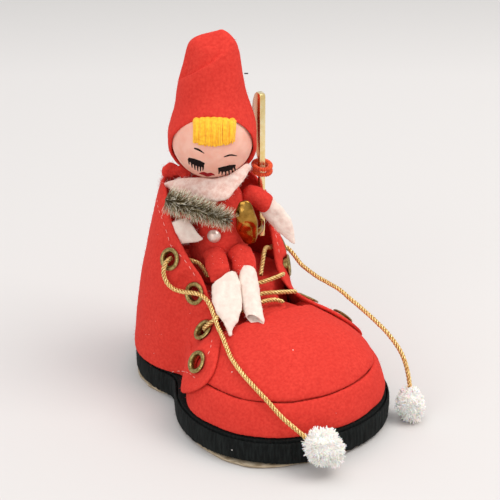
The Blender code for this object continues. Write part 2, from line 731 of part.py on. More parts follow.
def make_hat(head, red_felt, iron):
    """Tall felt hood, narrow and blunt at the top, cut on a slant over the forehead."""
    clear = HEAD_RADIUS + 2 * GAP
    rings = []
    for step in HAT_SHAPE:
        height, left, right, depth, lean = [value * MM for value in step]
        rings.append((height * HAT_HEIGHT / (HAT_SHAPE[-1][0] * MM), left, right, depth, lean))
    brow = [(r * math.sin(a), r * math.cos(a)) for r in (clear,) for a in map(math.radians, (-50, -30, -10, 8))]
    outer, inner = [], []
    for height, radius in brow:
        share = (clear + HAT_FELT) / clear
        outer.append(hat_ring(head, height * share, radius * share, radius * share, radius * share, 0))
        inner.append(hat_ring(head, height, radius, radius, radius, 0))
    for height, left, right, depth, lean in rings:
        outer.append(hat_ring(head, height, left, right, depth, lean))
    for height, left, right, depth, lean in rings[:-3]:
        inner.append(hat_ring(head, height - HAT_FELT * 0.3, left - HAT_FELT, right - HAT_FELT,
                              depth - HAT_FELT, lean))
    hat = loft("hat", inner[::-1] + outer, red_felt)
    boolean(hat, below_brim("brim_cutter", head, 0.0, red_felt), "DIFFERENCE")
    beside = facing(0, 1, 0)
    stub = turned_solid("hat_wire", [(0, 0), (0.3 * MM, 0), (0.3 * MM, 1.6 * MM), (0, 1.6 * MM)], iron, segments=8)
    height, left, right, depth, lean = rings[4]
    stub_at = head + facing(-lean, right + GAP, height)
    stub.matrix_world = Matrix.Translation(stub_at) @ beside.to_track_quat("Z", "Y").to_matrix().to_4x4()


def face_point(head, right, up, radius):
    """A point on a sphere about the head, (right, up) being its place as the face is looked at."""
    out = math.sqrt(max(radius ** 2 - right ** 2 - up ** 2, 0.0))
    tilt = FACE_TILT
    return head + facing(out * math.cos(tilt) - up * math.sin(tilt), right,
                         out * math.sin(tilt) + up * math.cos(tilt))


def make_fringe(head, yarn):
    """A pad of yarn strands on the forehead, ridged on the outside."""
    strands = 8
    columns = strands * 3 + 1
    outer, inner = [], []
    for i in range(5):
        row, back = [], []
        for j in range(columns):
            share = j / (columns - 1)
            right = FRINGE_LEFT + (FRINGE_RIGHT - FRINGE_LEFT) * share
            up = FRINGE_TOP + (FRINGE_BOTTOM - FRINGE_TOP) * i / 4
            ridge = 0.0 if j % 3 == 0 else 1.0
            base = HEAD_RADIUS + 2 * GAP
            row.append(face_point(head, right, up, base + (0.6 + 0.7 * ridge) * MM))
            back.append(face_point(head, right, up, base))
        outer.append(row)
        inner.append(back)
    fringe = sheet("fringe", outer, inner, yarn)
    boolean(fringe, below_brim("fringe_cutter", head, GAP, yarn), "INTERSECT")


def make_collar(white_felt):
    """White felt collar lying on the shoulders, high on the elf's left, with a point down the chest."""
    centre = Vector((TORSO_X, TORSO_Y + 1.5 * MM, NECK_Z))
    start = NECK_RADIUS + 1.2 * MM
    outer, inner = [], []
    count = 32
    for k in range(count):
        a = math.tau * k / count
        point = max(math.cos(a), 0.0) ** 8
        left = max(math.sin(a), 0.0)
        row = []
        for t in (0.0, 0.33, 0.67, 1.0):
            radius = start + (COLLAR_RADIUS - start) * t - (point * 3.0 + left * 1.5) * t * MM
            drop = (1.2 * t * t + point * 5.5 * t - left * 3.0 * t) * MM
            row.append(centre + facing(radius * math.cos(a), radius * math.sin(a), 1.9 * MM - drop))
        outer.append(row)
        inner.append([p - Vector((0, 0, COLLAR_FELT)) for p in row])
    rings = [row + line[::-1] for row, line in zip(outer, inner)]
    points = [p for ring in rings for p in ring]
    faces = [tuple(n % len(points) for n in face) for face in strip(rings + rings[:1])]
    collar = add_mesh("collar", points, faces, white_felt)
    boolean(collar, tree_shape("tree_seat", GAP, white_felt), "DIFFERENCE")
    boolean(collar, head_shape("chin_seat", GAP, white_felt), "DIFFERENCE")


def make_limbs(red_felt, white_felt):
    """Legs, feet, sleeves and hands."""
    across = facing(0, 1, 0)
    legs = {
        "right": ([mm(-9.0, 11.6, 59.0), mm(-9.9, 9.2, 58.8), mm(-10.8, 6.8, 58.0)],
                  [mm(-11.5, 4.2, 56.8), mm(-13.2, 0.2, 54.2), mm(-16.0, -5.0, 50.6), mm(-18.6, -10.2, 46.8),
                   mm(-21.2, -15.0, 41.8)]),
        "left": ([mm(0.9, 7.6, 59.2), mm(-0.2, 5.0, 59.0), mm(-1.2, 2.6, 58.2)],
                 [mm(-1.9, 0.2, 57.0), mm(-3.0, -3.6, 54.0), mm(-4.6, -8.2, 50.8), mm(-6.7, -13.4, 47.3),
                  mm(-9.2, -18.6, 44.3)]),
    }
    wide, thick = FOOT_HALF_WIDTH, FOOT_HALF_THICKNESS
    for label, (leg, foot) in legs.items():
        r = LEG_RADIUS
        limb(f"leg_{label}", leg, [(r * 0.95, r * 0.95), (r, r), (r * 0.85, r * 0.7)], across, red_felt, count=6)
        share = 1.0 if label == "right" else 0.86
        sections = [(wide * share * size, thick * depth) for size, depth in
                    ((0.8, 1.3), (0.95, 1.1), (1.0, 1.0), (0.9, 1.0), (0.45, 0.7))]
        limb(f"foot_{label}", foot, sections, across, white_felt)
    arms = {
        "left": ([mm(8.5, 16.8, 83.2), mm(12, 15, 81), mm(15.6, 12.9, 77.6)],
                 [mm(17.1, 12.2, 75.2), mm(20.4, 8.6, 69.4), mm(22.4, 5.0, 63.2)]),
        "right": ([mm(-13.5, 26, 81.0), mm(-17, 24.9, 79.6), mm(-18.8, 23.4, 77.4)],
                  [mm(-20.3, 21.8, 74.2), mm(-19.3, 19.0, 70.6), mm(-17.2, 15.8, 66.0)]),
    }
    for label, (sleeve, hand) in arms.items():
        r = SLEEVE_RADIUS
        arm = limb(f"sleeve_{label}", sleeve, [(r * 0.8, r * 0.8), (r, r), (r, r * 0.9)], across, red_felt, count=6)
        boolean(arm, torso_shape(f"armpit_{label}", GAP, red_felt), "DIFFERENCE")
        boolean(arm, tree_shape(f"elbow_{label}", GAP, red_felt), "DIFFERENCE")
        wide, thick = HAND_HALF_WIDTH, HAND_HALF_THICKNESS
        limb(f"hand_{label}", hand, [(wide * 0.75, thick * 1.4), (wide, thick), (wide * 0.9, thick * 0.8)],
             across, white_felt, count=7)


def tree_shape(name, grow, look):
    """The outer shape of the tree's bristles along its stem, made larger all round by a margin."""
    start, end = mm(*TREE_BASE), mm(*TREE_TIP)
    along = (end - start).normalized()
    profile = [(0, -grow)]
    turns = 6
    for n in range(turns * 2 + 1):
        t = n / (turns * 2)
        radius = TREE_BASE_RADIUS + (TREE_TIP_RADIUS - TREE_BASE_RADIUS) * t
        place = -grow if n == 0 else TREE_LENGTH * t
        profile.append((radius * (1.0 if n % 2 else 0.9) + grow, place))
    profile[-1] = (profile[-1][0], TREE_LENGTH + grow)
    profile.append((0, TREE_LENGTH + grow))
    tree = turned_solid(name, profile, look, segments=12)
    tree.matrix_world = Matrix.Translation(start) @ along.to_track_quat("Z", "Y").to_matrix().to_4x4()
    return tree


def make_harp(gilt, tie_look):
    """Gilt toy harp beside the elf: pillar, curved neck and rounded sound box."""
    foot = Vector((18.2 * MM, 19.6 * MM, 0))
    back = facing(-0.985, -0.17, 0).normalized()
    thin = Vector((-back.y, back.x, 0)) * HARP_THICKNESS / 2
    top = HARP_TOP_Z
    outline = [(0, HARP_FOOT_Z), (0, top - 1.2 * MM), (1.0 * MM, top), (5 * MM, top - 0.4 * MM), (9 * MM, top - 3.5 * MM),
               (12 * MM, top - 9 * MM), (12 * MM, top - 15 * MM), (10 * MM, top - 21 * MM), (6 * MM, top - 26.5 * MM),
               (3.2 * MM, top - 29 * MM), (2.8 * MM, top - 38 * MM), (2.6 * MM, HARP_FOOT_Z)]
    rings = [[foot + back * s + thin * k + Vector((0, 0, z)) for s, z in outline] for k in (-1, 1)]
    harp = loft("toy_harp", rings, gilt)
    wide = HARP_BOX_HALF_WIDTH
    box = limb("harp_sound_box", [mm(1.4, 8.2, 82.0), mm(2.0, 7.8, 76.2), mm(4.6, 8.6, 65.8)],
               [(wide * 0.3, 1.1 * MM), (wide * 0.85, 1.9 * MM), (wide, 2.1 * MM), (wide * 0.9, 2.1 * MM)],
               facing(0, 1, 0), gilt)
    link = limb("harp_link", [mm(5.6, 9.2, 67.4), mm(12.6, 13.0, 66.6), mm(18.4, 20.2, 66.0)],
                [(1.6 * MM, 1.1 * MM), (1.6 * MM, 1.1 * MM)], Vector((0, 0, 1)), gilt, count=6, segments=10)
    boolean(harp, box, "UNION")
    boolean(harp, link, "UNION")
    middle = foot + back * 1.4 * MM + Vector((0, 0, 90.5 * MM))
    wide, deep = HARP_THICKNESS / 2 + GAP, 3.4 * MM
    rings = []
    for k in range(24):
        a = math.tau * k / 24
        out = Vector((math.cos(a), math.sin(a), 0))
        side = thin.normalized()
        base = middle + side * out.x * (wide + 1.4 * MM) + back * out.y * (deep + 1.4 * MM)
        normal = (side * out.x + back * out.y).normalized()
        rings.append([base + normal * dx * MM + Vector((0, 0, dz * MM)) for dx, dz in
                      ((0, -2), (0.9, -1.7), (1.2, -1.0), (0.6, 0), (1.2, 1.0), (0.9, 1.7), (0, 2))])
    points = [p for ring in rings for p in ring]
    faces = [tuple(n % len(points) for n in face) for face in strip(rings + rings[:1])]
    add_mesh("harp_tie", points, faces, tie_look)


LACE_RIGHT_SIDE = [(-26.2, 20.4, 61.0), (-29.8, 19.0, 60.4), (-31.0, 18.9, 56.4), (-30.6, 16.9, 52.4),
                   (-29.3, 13.0, 50.6), (-27.4, 8.6, 50.8), (-25.4, 4.2, 51.4), (-23.4, 0.2, 50.8),
                   (-22.9, -3.4, 48.4), (-23.4, -7.0, 45.6)]
LACE_RIGHT_TAB = [(-24.4, -12.0), (-26.0, -17.5)]
LACE_RIGHT_TOE = [(-27.8, -25.5), (-28.9, -33.5), (-28.4, -41.5), (-26.4, -49.0), (-23.6, -54.8)]
LACE_RIGHT_END = [(-20.6, -59.8, 18.2), (-18.2, -63.4, 15.2)]
POMPOM_RIGHT = (-12.6, -69.0, 11.2)
LACE_LEFT = [(28.2, 22.9, 51.3), (31.4, 20.8, 50.8), (32.4, 16.4, 48.8), (32.6, 11.8, 46.4), (33.2, 5.5, 44.9),
             (34.1, -0.2, 43.8), (35.0, -6.1, 43.4), (35.8, -12.0, 42.7), (36.9, -17.6, 40.7), (38.0, -23.2, 38.8),
             (38.8, -30.7, 36.6), (40.0, -37.8, 33.5), (40.8, -43.5, 30.0), (41.3, -47.0, 26.9), (41.6, -50.2, 22.0),
             (41.6, -52.2, 16.8), (41.4, -53.2, 14.0)]
POMPOM_LEFT = (40.5, -55.2, 6.4)


def make_laces(gold, white_pile):
    """Held crossings, the two free lace ends and the pompoms on them."""
    crossings = {
        "lace_cross_1": [(-22.0, 16.0, 61.2), (-16.6, 14.4, 58.2), (-13.8, 12.0, 52.6)],
        "lace_cross_2": [(24.6, 22.0, 52.6), (20.6, 17.4, 54.6), (16.6, 14.3, 57.0), (12.9, 10.6, 57.0),
                         (9.6, 7.2, 53.4), (6.8, 4.2, 50.8)],
        "lace_cross_3": [(-17.0, 3.6, 48.8), (-10.0, 1.5, 50.0), (0.0, -0.6, 50.4), (8.0, -1.6, 51.0),
                         (13.6, -0.8, 51.0), (16.2, 1.4, 50.0)],
        "lace_cross_4": [(-13.5, -4.8, 45.4), (-8.0, -4.6, 46.6), (2.0, -4.4, 47.2), (9.0, -6.6, 46.8),
                         (16.4, -7.8, 45.6)],
        "lace_cross_5": [(-11.4, -9.0, 44.8), (-4.0, -8.6, 46.0), (4.0, -8.8, 45.6), (8.6, -9.6, 43.8)],
    }
    for name, stops in crossings.items():
        route = [mm(*p) for p in stops]
        length = sum((b - a).length for a, b in zip(route, route[1:]))
        cord(name, route, LACE_RADIUS, gold, max(5, round(length / (4.5 * MM))))
    lie = LACE_RADIUS + GAP
    tab = [on_toe(x * MM, y * MM, lie + LIFT + 3 * GAP) for x, y in LACE_RIGHT_TAB]
    toe = [on_toe(x * MM, y * MM, lie + GAP) for x, y in LACE_RIGHT_TOE]
    right = [mm(*p) for p in LACE_RIGHT_SIDE] + tab + toe + [mm(*p) for p in LACE_RIGHT_END]
    left = [mm(*p) for p in LACE_LEFT]
    cord("lace_end_right", right, LACE_RADIUS, gold, 34)
    cord("lace_end_left", left, LACE_RADIUS, gold, 26)
    for name, route, centre in (("pompom_right", right, mm(*POMPOM_RIGHT)), ("pompom_left", left, mm(*POMPOM_LEFT))):
        tip = route[-1]
        along = (centre - tip).normalized()
        profile = [(0, -POMPOM_HALF_LENGTH)]
        for n in range(1, 9):
            a = math.pi * n / 9
            profile.append((POMPOM_RADIUS * math.sin(a) * (1.0 if n % 2 else 0.93), -POMPOM_HALF_LENGTH * math.cos(a)))
        profile.append((0, POMPOM_HALF_LENGTH))
        ball = turned_solid(name, profile, white_pile, segments=12)
        start = tip + along * (POMPOM_HALF_LENGTH + GAP)
        ball.matrix_world = Matrix.Translation(start) @ along.to_track_quat("Z", "Y").to_matrix().to_4x4()


def build():
    """Make every piece of the figurine."""
    for old in list(bpy.data.objects):
        bpy.data.objects.remove(old, do_unlink=True)
    red_felt = material("Red felt", (0.60, 0.03, 0.02), 0.95)
    black_felt = material("Black felt", (0.01, 0.012, 0.01), 0.95)
    white_felt = material("White felt", (0.80, 0.70, 0.66), 0.95)
    card = material("Cardboard", (0.55, 0.42, 0.28), 0.85)
    foam = material("Sole filler", (0.60, 0.50, 0.38), 0.9)
    wadding = material("Wadding", (0.80, 0.78, 0.74), 1.0)
    brass = material("Brass", (0.62, 0.48, 0.20), 0.35, 1.0)
    gold = material("Gold cord", (0.75, 0.48, 0.10), 0.4, 1.0)
    white_pile = material("White pile", (0.85, 0.82, 0.78), 1.0)
    skin = material("Painted head", (0.85, 0.48, 0.38), 0.5)
    yarn = material("Yellow yarn", (0.90, 0.58, 0.03), 0.9)
    pearl = material("Pearl", (0.85, 0.72, 0.64), 0.2)
    iron = material("Iron wire", (0.08, 0.08, 0.09), 0.5, 1.0)
    tinsel = material("Bristles", (0.48, 0.44, 0.36), 0.7)
    gilt = material("Gilt plastic", (0.85, 0.66, 0.30), 0.15, 1.0)
    tie_look = material("Orange cord", (0.75, 0.10, 0.02), 0.8)
    make_sole(card, foam, black_felt)
    make_toe(red_felt, wadding)
    make_quarters(red_felt, brass)
    make_shaft_inside(wadding, red_felt)
    make_body(red_felt, skin, white_felt, yarn, pearl, iron)
    make_limbs(red_felt, white_felt)
    tree_shape("bottle_brush_tree", 0.0, tinsel)
    make_harp(gilt, tie_look)
    make_laces(gold, white_pile)


build()
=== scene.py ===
"""Looks for the elf figurine: a felt elf in a lace-up felt boot, on a cardboard sole board.

Everything is in metres in the frame of the solids: +Z up, the boot's toe towards -Y.
"""

import math
import random

import bmesh
import bpy
import numpy as np
from mathutils import Matrix, Vector, noise
from mathutils.bvhtree import BVHTree
from mathutils.kdtree import KDTree


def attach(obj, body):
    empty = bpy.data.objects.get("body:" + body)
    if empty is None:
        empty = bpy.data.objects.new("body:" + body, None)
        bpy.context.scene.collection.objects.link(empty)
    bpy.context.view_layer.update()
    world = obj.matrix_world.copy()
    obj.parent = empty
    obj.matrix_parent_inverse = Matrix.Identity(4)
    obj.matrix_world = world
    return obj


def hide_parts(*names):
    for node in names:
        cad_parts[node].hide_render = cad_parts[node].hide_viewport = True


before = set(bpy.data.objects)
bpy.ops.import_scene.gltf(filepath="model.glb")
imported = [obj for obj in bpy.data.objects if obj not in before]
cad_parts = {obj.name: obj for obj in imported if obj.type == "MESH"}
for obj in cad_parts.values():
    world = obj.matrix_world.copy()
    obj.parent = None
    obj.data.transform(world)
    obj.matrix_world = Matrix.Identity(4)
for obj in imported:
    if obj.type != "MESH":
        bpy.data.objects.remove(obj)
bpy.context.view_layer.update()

MM = 0.001
TURN = math.radians(-34)
VIEW_RISE = math.radians(25)
VIEW_DISTANCE = 0.7
LENS = 126
SENSOR = 36
PICTURE = 500
CORD_RADIUS = 1.0 * MM
CORD_STEP = 0.35 * MM
STITCH_STEP = 1.6 * MM
FACE_PIXELS_PER_MM = 2.48
GOLDEN_ANGLE = 2.39996
HEAD_CENTRE = Vector((-0.6, 28.4, 105.6)) * MM
HEAD_RADIUS = 16.7 * MM
CHEST = Vector((-1, 24, 0)) * MM
LOOKS = {}


# Camera and helpers


def mm(x, y, z):
    """A point given in millimetres."""
    return Vector((x, y, z)) * MM


def facing(forward, right, up):
    """A vector in the elf's own turned frame, its right being the picture's right."""
    front = Vector((math.sin(TURN), -math.cos(TURN), 0))
    beside = Vector((math.cos(TURN), math.sin(TURN), 0))
    return front * forward + beside * right + Vector((0, 0, up))


VIEW_BACK = facing(math.cos(VIEW_RISE), 0, math.sin(VIEW_RISE))
VIEW_RIGHT = facing(0, 1, 0)
VIEW_UP = VIEW_BACK.cross(VIEW_RIGHT)
EYE = mm(-6, -7, 70) + VIEW_BACK * VIEW_DISTANCE


def from_head(stop):
    """A point in mm from the head's centre: right and up in the picture, and towards the eye."""
    right, up, back = stop
    return HEAD_CENTRE + (VIEW_RIGHT * right + VIEW_UP * up + VIEW_BACK * back) * MM


def make_camera():
    """The camera at the photograph's angle."""
    data = bpy.data.cameras.new("camera")
    data.lens = LENS
    data.sensor_width = SENSOR
    data.clip_start = 0.01
    camera = bpy.data.objects.new("camera", data)
    camera.matrix_world = Matrix.Translation(EYE) @ VIEW_BACK.to_track_quat("Z", "Y").to_matrix().to_4x4()
    bpy.context.collection.objects.link(camera)
    bpy.context.scene.camera = camera


def sight(px, py):
    """Unit direction from the eye through a point of the picture, in pixels."""
    reach = SENSOR / LENS / PICTURE
    middle = PICTURE / 2
    return (VIEW_RIGHT * (px - middle) * reach + VIEW_UP * (middle - py) * reach - VIEW_BACK).normalized()


def surface_of(piece):
    """A search tree over a piece's faces."""
    mesh = piece.data
    return BVHTree.FromPolygons([v.co for v in mesh.vertices], [tuple(p.vertices) for p in mesh.polygons])


def seen(tree, px, py):
    """The point of a surface that the eye sees at a point of the picture."""
    return tree.ray_cast(EYE, sight(px, py))[0]


def smooth_route(stops, spacing):
    """Points a given distance apart on a smooth curve through the stops."""
    stops = [Vector(p) for p in stops]
    ends = [2 * stops[0] - stops[1]] + stops + [2 * stops[-1] - stops[-2]]
    fine = []
    for a, b, c, d in zip(ends, ends[1:], ends[2:], ends[3:]):
        for n in range(16):
            t = n / 16
            fine.append(0.5 * (2 * b + (c - a) * t + (2 * a - 5 * b + 4 * c - d) * t ** 2
                               + (3 * b - a - 3 * c + d) * t ** 3))
    fine.append(stops[-1])
    lengths = [0.0]
    for a, b in zip(fine, fine[1:]):
        lengths.append(lengths[-1] + (b - a).length)
    count = max(2, round(lengths[-1] / spacing) + 1)
    made = []
    at = 0
    for n in range(count):
        want = lengths[-1] * n / (count - 1)
        while at < len(fine) - 2 and lengths[at + 1] < want:
            at += 1
        span = lengths[at + 1] - lengths[at]
        made.append(fine[at].lerp(fine[at + 1], (want - lengths[at]) / span if span else 0.0))
    return made


def place(name, mesh, finish):
    """A finished piece at the origin, with its material, riding on the body."""
    piece = bpy.data.objects.new(name + "_look", mesh)
    bpy.context.collection.objects.link(piece)
    mesh.materials.clear()
    mesh.materials.append(finish)
    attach(piece, "root")
    LOOKS[name] = piece
    return piece


def finish_bmesh(bm, name, finish, crease=60):
    """Turns an edited bmesh into a finished piece with outward faces."""
    bmesh.ops.recalc_face_normals(bm, faces=bm.faces)
    mesh = bpy.data.meshes.new(name)
    bm.to_mesh(mesh)
    bm.free()
    mesh.shade_smooth()
    mesh.set_sharp_from_angle(angle=math.radians(crease))
    return place(name, mesh, finish)


def add_rounding(piece):
    """Adds two levels of subdivision to a piece."""
    rounding = piece.modifiers.new("Round", "SUBSURF")
    rounding.levels = rounding.render_levels = 2


def turn_round(bm, profile):
    """Turns a profile once round the Z axis."""
    bmesh.ops.spin(bm, geom=profile, cent=(0, 0, 0), axis=(0, 0, 1), angle=math.tau, steps=40,
                   use_merge=True)


def apply_modifiers(piece):
    """Bakes a piece's modifiers into its mesh, which keeps its one material."""
    finish = piece.data.materials[0]
    depsgraph = bpy.context.evaluated_depsgraph_get()
    made = bpy.data.meshes.new_from_object(piece.evaluated_get(depsgraph))
    piece.modifiers.clear()
    piece.data = made
    made.materials.clear()
    made.materials.append(finish)
    made.shade_smooth()


def mesh_of_curve(data):
    """The mesh of a curve's rounded lines."""
    curve = bpy.data.objects.new(data.name + "_curve", data)
    bpy.context.collection.objects.link(curve)
    depsgraph = bpy.context.evaluated_depsgraph_get()
    mesh = bpy.data.meshes.new_from_object(curve.evaluated_get(depsgraph))
    bpy.data.objects.remove(curve)
    mesh.shade_smooth()
    return mesh


def strand_curve(name, radius):
    """A curve whose lines are round strands with closed ends."""
    data = bpy.data.curves.new(name, "CURVE")
    data.dimensions = "3D"
    data.bevel_depth = radius
    data.bevel_resolution = 1
    data.use_fill_caps = True
    return data


def press(piece, push):
    """Moves each point of a piece along its normal by what push(point, normal) gives."""
    mesh = piece.data
    moved = [v.co + v.normal * push(v.co, v.normal) for v in mesh.vertices]
    for vertex, point in zip(mesh.vertices, moved):
        vertex.co = point
    mesh.update()


def swell(piece, height):
    """Pushes a whole surface out by a height in mm."""
    press(piece, lambda point, normal: height * MM)


def uneven(piece, *layers):
    """Makes a surface slightly uneven, from layers of bump size in mm, height in mm and seed."""
    for size, height, seed in layers:
        away = Vector((seed * 7.3, seed * 3.1, seed * 5.7))
        press(piece, lambda point, normal: noise.noise(point / (size * MM) + away) * height * MM)


def soften(name, finish, voxel, ease=6):
    """A soft copy of a CAD solid: its facets are rounded off and its edges eased."""
    bm = bmesh.new()
    bm.from_mesh(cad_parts[name].data)
    bmesh.ops.remove_doubles(bm, verts=bm.verts, dist=1e-6)
    bmesh.ops.join_triangles(bm, faces=bm.faces, angle_face_threshold=math.radians(35),
                             angle_shape_threshold=math.radians(60))
    mesh = bpy.data.meshes.new(name)
    bm.to_mesh(mesh)
    bm.free()
    piece = place(name, mesh, finish)
    add_rounding(piece)
    even = piece.modifiers.new("Even", "REMESH")
    even.mode = "VOXEL"
    even.voxel_size = voxel * MM
    easing = piece.modifiers.new("Ease", "SMOOTH")
    easing.iterations = ease
    apply_modifiers(piece)
    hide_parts(name)
    return piece


def repeat_shape(name, shape, spots, finish):
    """One piece made of many copies of a small bmesh shape, one for each matrix."""
    shape.verts.ensure_lookup_table()
    points = np.array([v.co for v in shape.verts])
    triangles = bmesh.ops.triangulate(shape, faces=shape.faces)["faces"]
    faces = np.array([[v.index for v in f.verts] for f in triangles])
    spots = np.array([[list(row) for row in spot] for spot in spots])
    moved = np.einsum("nij,vj->nvi", spots[:, :3, :3], points) + spots[:, None, :3, 3]
    count = len(points)
    corners = faces[None] + (np.arange(len(spots)) * count)[:, None, None]
    mesh = bpy.data.meshes.new(name)
    mesh.from_pydata(moved.reshape(-1, 3).tolist(), [], corners.reshape(-1, 3).tolist())
    shape.free()
    reach = points[:, 2].max()
    tip = mesh.attributes.new("tip", "FLOAT", "POINT")
    tip.data.foreach_set("value", np.tile(points[:, 2] / reach, len(spots)))
    mesh.shade_smooth()
    return place(name, mesh, finish)


def hair_shape(radius, length, bend, sides=3, rings=3):
    """A tapered hair along +Z from the origin, bent towards +X."""
    bm = bmesh.new()
    bmesh.ops.create_cone(bm, cap_ends=True, segments=sides, radius1=radius, radius2=radius * 0.35,
                          depth=length)
    bmesh.ops.translate(bm, verts=bm.verts, vec=(0, 0, length / 2))
    upright = [e for e in bm.edges if abs(e.verts[0].co.z - e.verts[1].co.z) > length / 2]
    bmesh.ops.subdivide_edges(bm, edges=upright, cuts=rings - 1, use_grid_fill=True)
    for vertex in bm.verts:
        share = vertex.co.z / length
        vertex.co.x += bend * share * share
    return bm


def aim(point, direction, spin=0.0, size=1.0):
    """A matrix that stands a shape's +Z along a direction at a point."""
    turn = direction.to_track_quat("Z", "Y").to_matrix().to_4x4()
    return Matrix.Translation(point) @ turn @ Matrix.Rotation(spin, 4, "Z") @ Matrix.Scale(size, 4)


def scattered(piece, count, seed, keep=None):
    """Random points of a piece's surface with their normals, evenly by area."""
    rng = random.Random(seed)
    mesh = piece.data
    areas = np.cumsum([p.area for p in mesh.polygons])
    found = []
    while len(found) < count:
        face = mesh.polygons[int(np.searchsorted(areas, rng.random() * areas[-1]))]
        corners = [mesh.vertices[i].co for i in face.vertices]
        a, b = rng.random(), rng.random()
        if a + b > 1:
            a, b = 1 - a, 1 - b
        start = rng.randrange(len(corners))
        one, two, three = (corners[(start + k) % len(corners)] for k in range(3))
        point = one + (two - one) * a + (three - one) * b
        if keep is None or keep(point, face.normal):
            found.append((point, face.normal.copy()))
    return found


def fuzz(piece, name, finish, count, length, seed, lie=0.5, keep=None, thickness=0.035):
    """Loose fibres that stand up from a felt piece."""
    rng = random.Random(seed)
    spots = []
    for point, normal in scattered(piece, count, seed, keep):
        wild = Vector((rng.gauss(0, 1), rng.gauss(0, 1), rng.gauss(0, 1))).normalized()
        direction = (normal * lie + wild).normalized()
        if direction.dot(normal) < 0.05:
            direction = (direction + normal * (0.1 - direction.dot(normal))).normalized()
        spin = rng.random() * math.tau
        spots.append(aim(point - normal * 0.05 * MM, direction, spin, rng.uniform(0.5, 1.2)))
    shape = hair_shape(thickness * MM, length * MM, length * 0.45 * MM)
    return repeat_shape(name, shape, spots, finish)


# Materials


def linear(code):
    """A hex sRGB colour as linear RGBA."""
    parts = [int(code[i:i + 2], 16) / 255 for i in (0, 2, 4)]
    return tuple(c / 12.92 if c <= 0.04045 else ((c + 0.055) / 1.055) ** 2.4 for c in parts) + (1.0,)


def add_node(tree, kind, settings=(), inputs=()):
    """Adds a shader node with its settings, and fills or links its inputs."""
    made = tree.nodes.new(kind)
    for name, value in dict(settings).items():
        setattr(made, name, value)
    for name, value in dict(inputs).items():
        if isinstance(value, bpy.types.NodeSocket):
            tree.links.new(value, made.inputs[name])
        else:
            made.inputs[name].default_value = value
    return made


def new_material(name, base, roughness, **more):
    """A Principled material and its tree and shader, with constants set on the shader's sockets."""
    made = bpy.data.materials.new(name)
    made.use_nodes = True
    tree = made.node_tree
    shader = tree.nodes["Principled BSDF"]
    shader.inputs["Base Color"].default_value = linear(base)
    shader.inputs["Roughness"].default_value = roughness
    for key, value in more.items():
        shader.inputs[key.replace("_", " ").title().replace("Ior", "IOR")].default_value = value
    return made, tree, shader


def grain(tree, where, size, detail):
    """Noise whose features are a given size in mm."""
    inputs = {"Vector": where, "Scale": 1 / (size * MM), "Detail": detail}
    return add_node(tree, "ShaderNodeTexNoise", inputs=inputs).outputs[0]


def blend(tree, value, span, low, high, most=1.0):
    """A colour that goes from low to high as a value runs over a span. Each is a hex code or a socket."""
    share = add_node(tree, "ShaderNodeMapRange",
                     inputs={"Value": value, "From Min": span[0], "From Max": span[1], "To Max": most})
    low, high = (linear(c) if isinstance(c, str) else c for c in (low, high))
    mix = add_node(tree, "ShaderNodeMix", {"data_type": "RGBA"}, {0: share.outputs[0], 6: low, 7: high})
    return mix.outputs[2]


def mottle(tree, shader, dark, light, size, detail=3.0, stretch=None, spread=(0.35, 0.65)):
    """Colours a shader with noise between two colours, its features a given size in mm."""
    where = add_node(tree, "ShaderNodeTexCoord").outputs["Object"]
    if stretch:
        where = add_node(tree, "ShaderNodeMapping", inputs={"Vector": where, "Scale": stretch}).outputs[0]
    colour = blend(tree, grain(tree, where, size, detail), spread, dark, light)
    tree.links.new(colour, shader.inputs["Base Color"])
    return where, colour


def roughen(tree, shader, where, *bumps):
    """Lays bumps over one another, each with a feature size and a height in mm and a detail."""
    below = {}
    for size, height, detail in bumps:
        inputs = {"Height": grain(tree, where, size, detail), "Distance": height * MM, "Strength": 1.0}
        bump = add_node(tree, "ShaderNodeBump", inputs={**inputs, **below}).outputs[0]
        below = {"Normal": bump}
        tree.links.new(bump, shader.inputs["Normal"])


def surfaced(name, base, roughness, colours, bumps=(), spots=None, **more):
    """A material mottled from (dark, light, size in mm) and roughened with bumps."""
    made, tree, shader = new_material(name, base, roughness, **more)
    where = mottle(tree, shader, *colours, **(spots or {}))[0]
    roughen(tree, shader, where, *bumps)
    return made


def felt(name, base, dark, light, sheen=0.25, size=1.1):
    """Pressed wool felt: dull, mottled where fibres cross, with a soft bloom at grazing angles."""
    made, tree, shader = new_material(name, base, 0.95, sheen_weight=sheen, sheen_roughness=0.55,
                                      specular_ior_level=0.15, sheen_tint=linear(light))
    where, colour = mottle(tree, shader, dark, light, size, detail=4.0)
    broad = blend(tree, grain(tree, where, 14, 2.0), (0.3, 0.7), colour, dark, most=0.35)
    tree.links.new(broad, shader.inputs["Base Color"])
    roughen(tree, shader, where, (2.6, 0.16, 2.0), (0.55, 0.07, 4.0))
    return made


def metallised_thread():
    """Gold metallised thread, with painted shade and painted glints: the grooves between strands are
    painted dark brown where shade falls, and its pale specks are painted glints.
    """
    made, tree, shader = new_material("gold_metallised_thread", "D9A23C", 0.32, metallic=0.55)
    # Painted glints: the mottle's pale cream and orange specks stand in for glints and dark specks on the
    # foil.
    where, colour = mottle(tree, shader, "C07418", "FFE79E", 0.3, detail=2.0, spread=(0.42, 0.56))
    depth = add_node(tree, "ShaderNodeAttribute", {"attribute_name": "depth"}).outputs["Fac"]
    # Painted shade: towards the cord's middle, in the grooves between strands, the colour goes to dark
    # brown.
    tree.links.new(blend(tree, depth, (0.5, 0.88), "874511", colour), shader.inputs["Base Color"])
    roughen(tree, shader, where, (0.3, 0.06, 2.0))
    return made


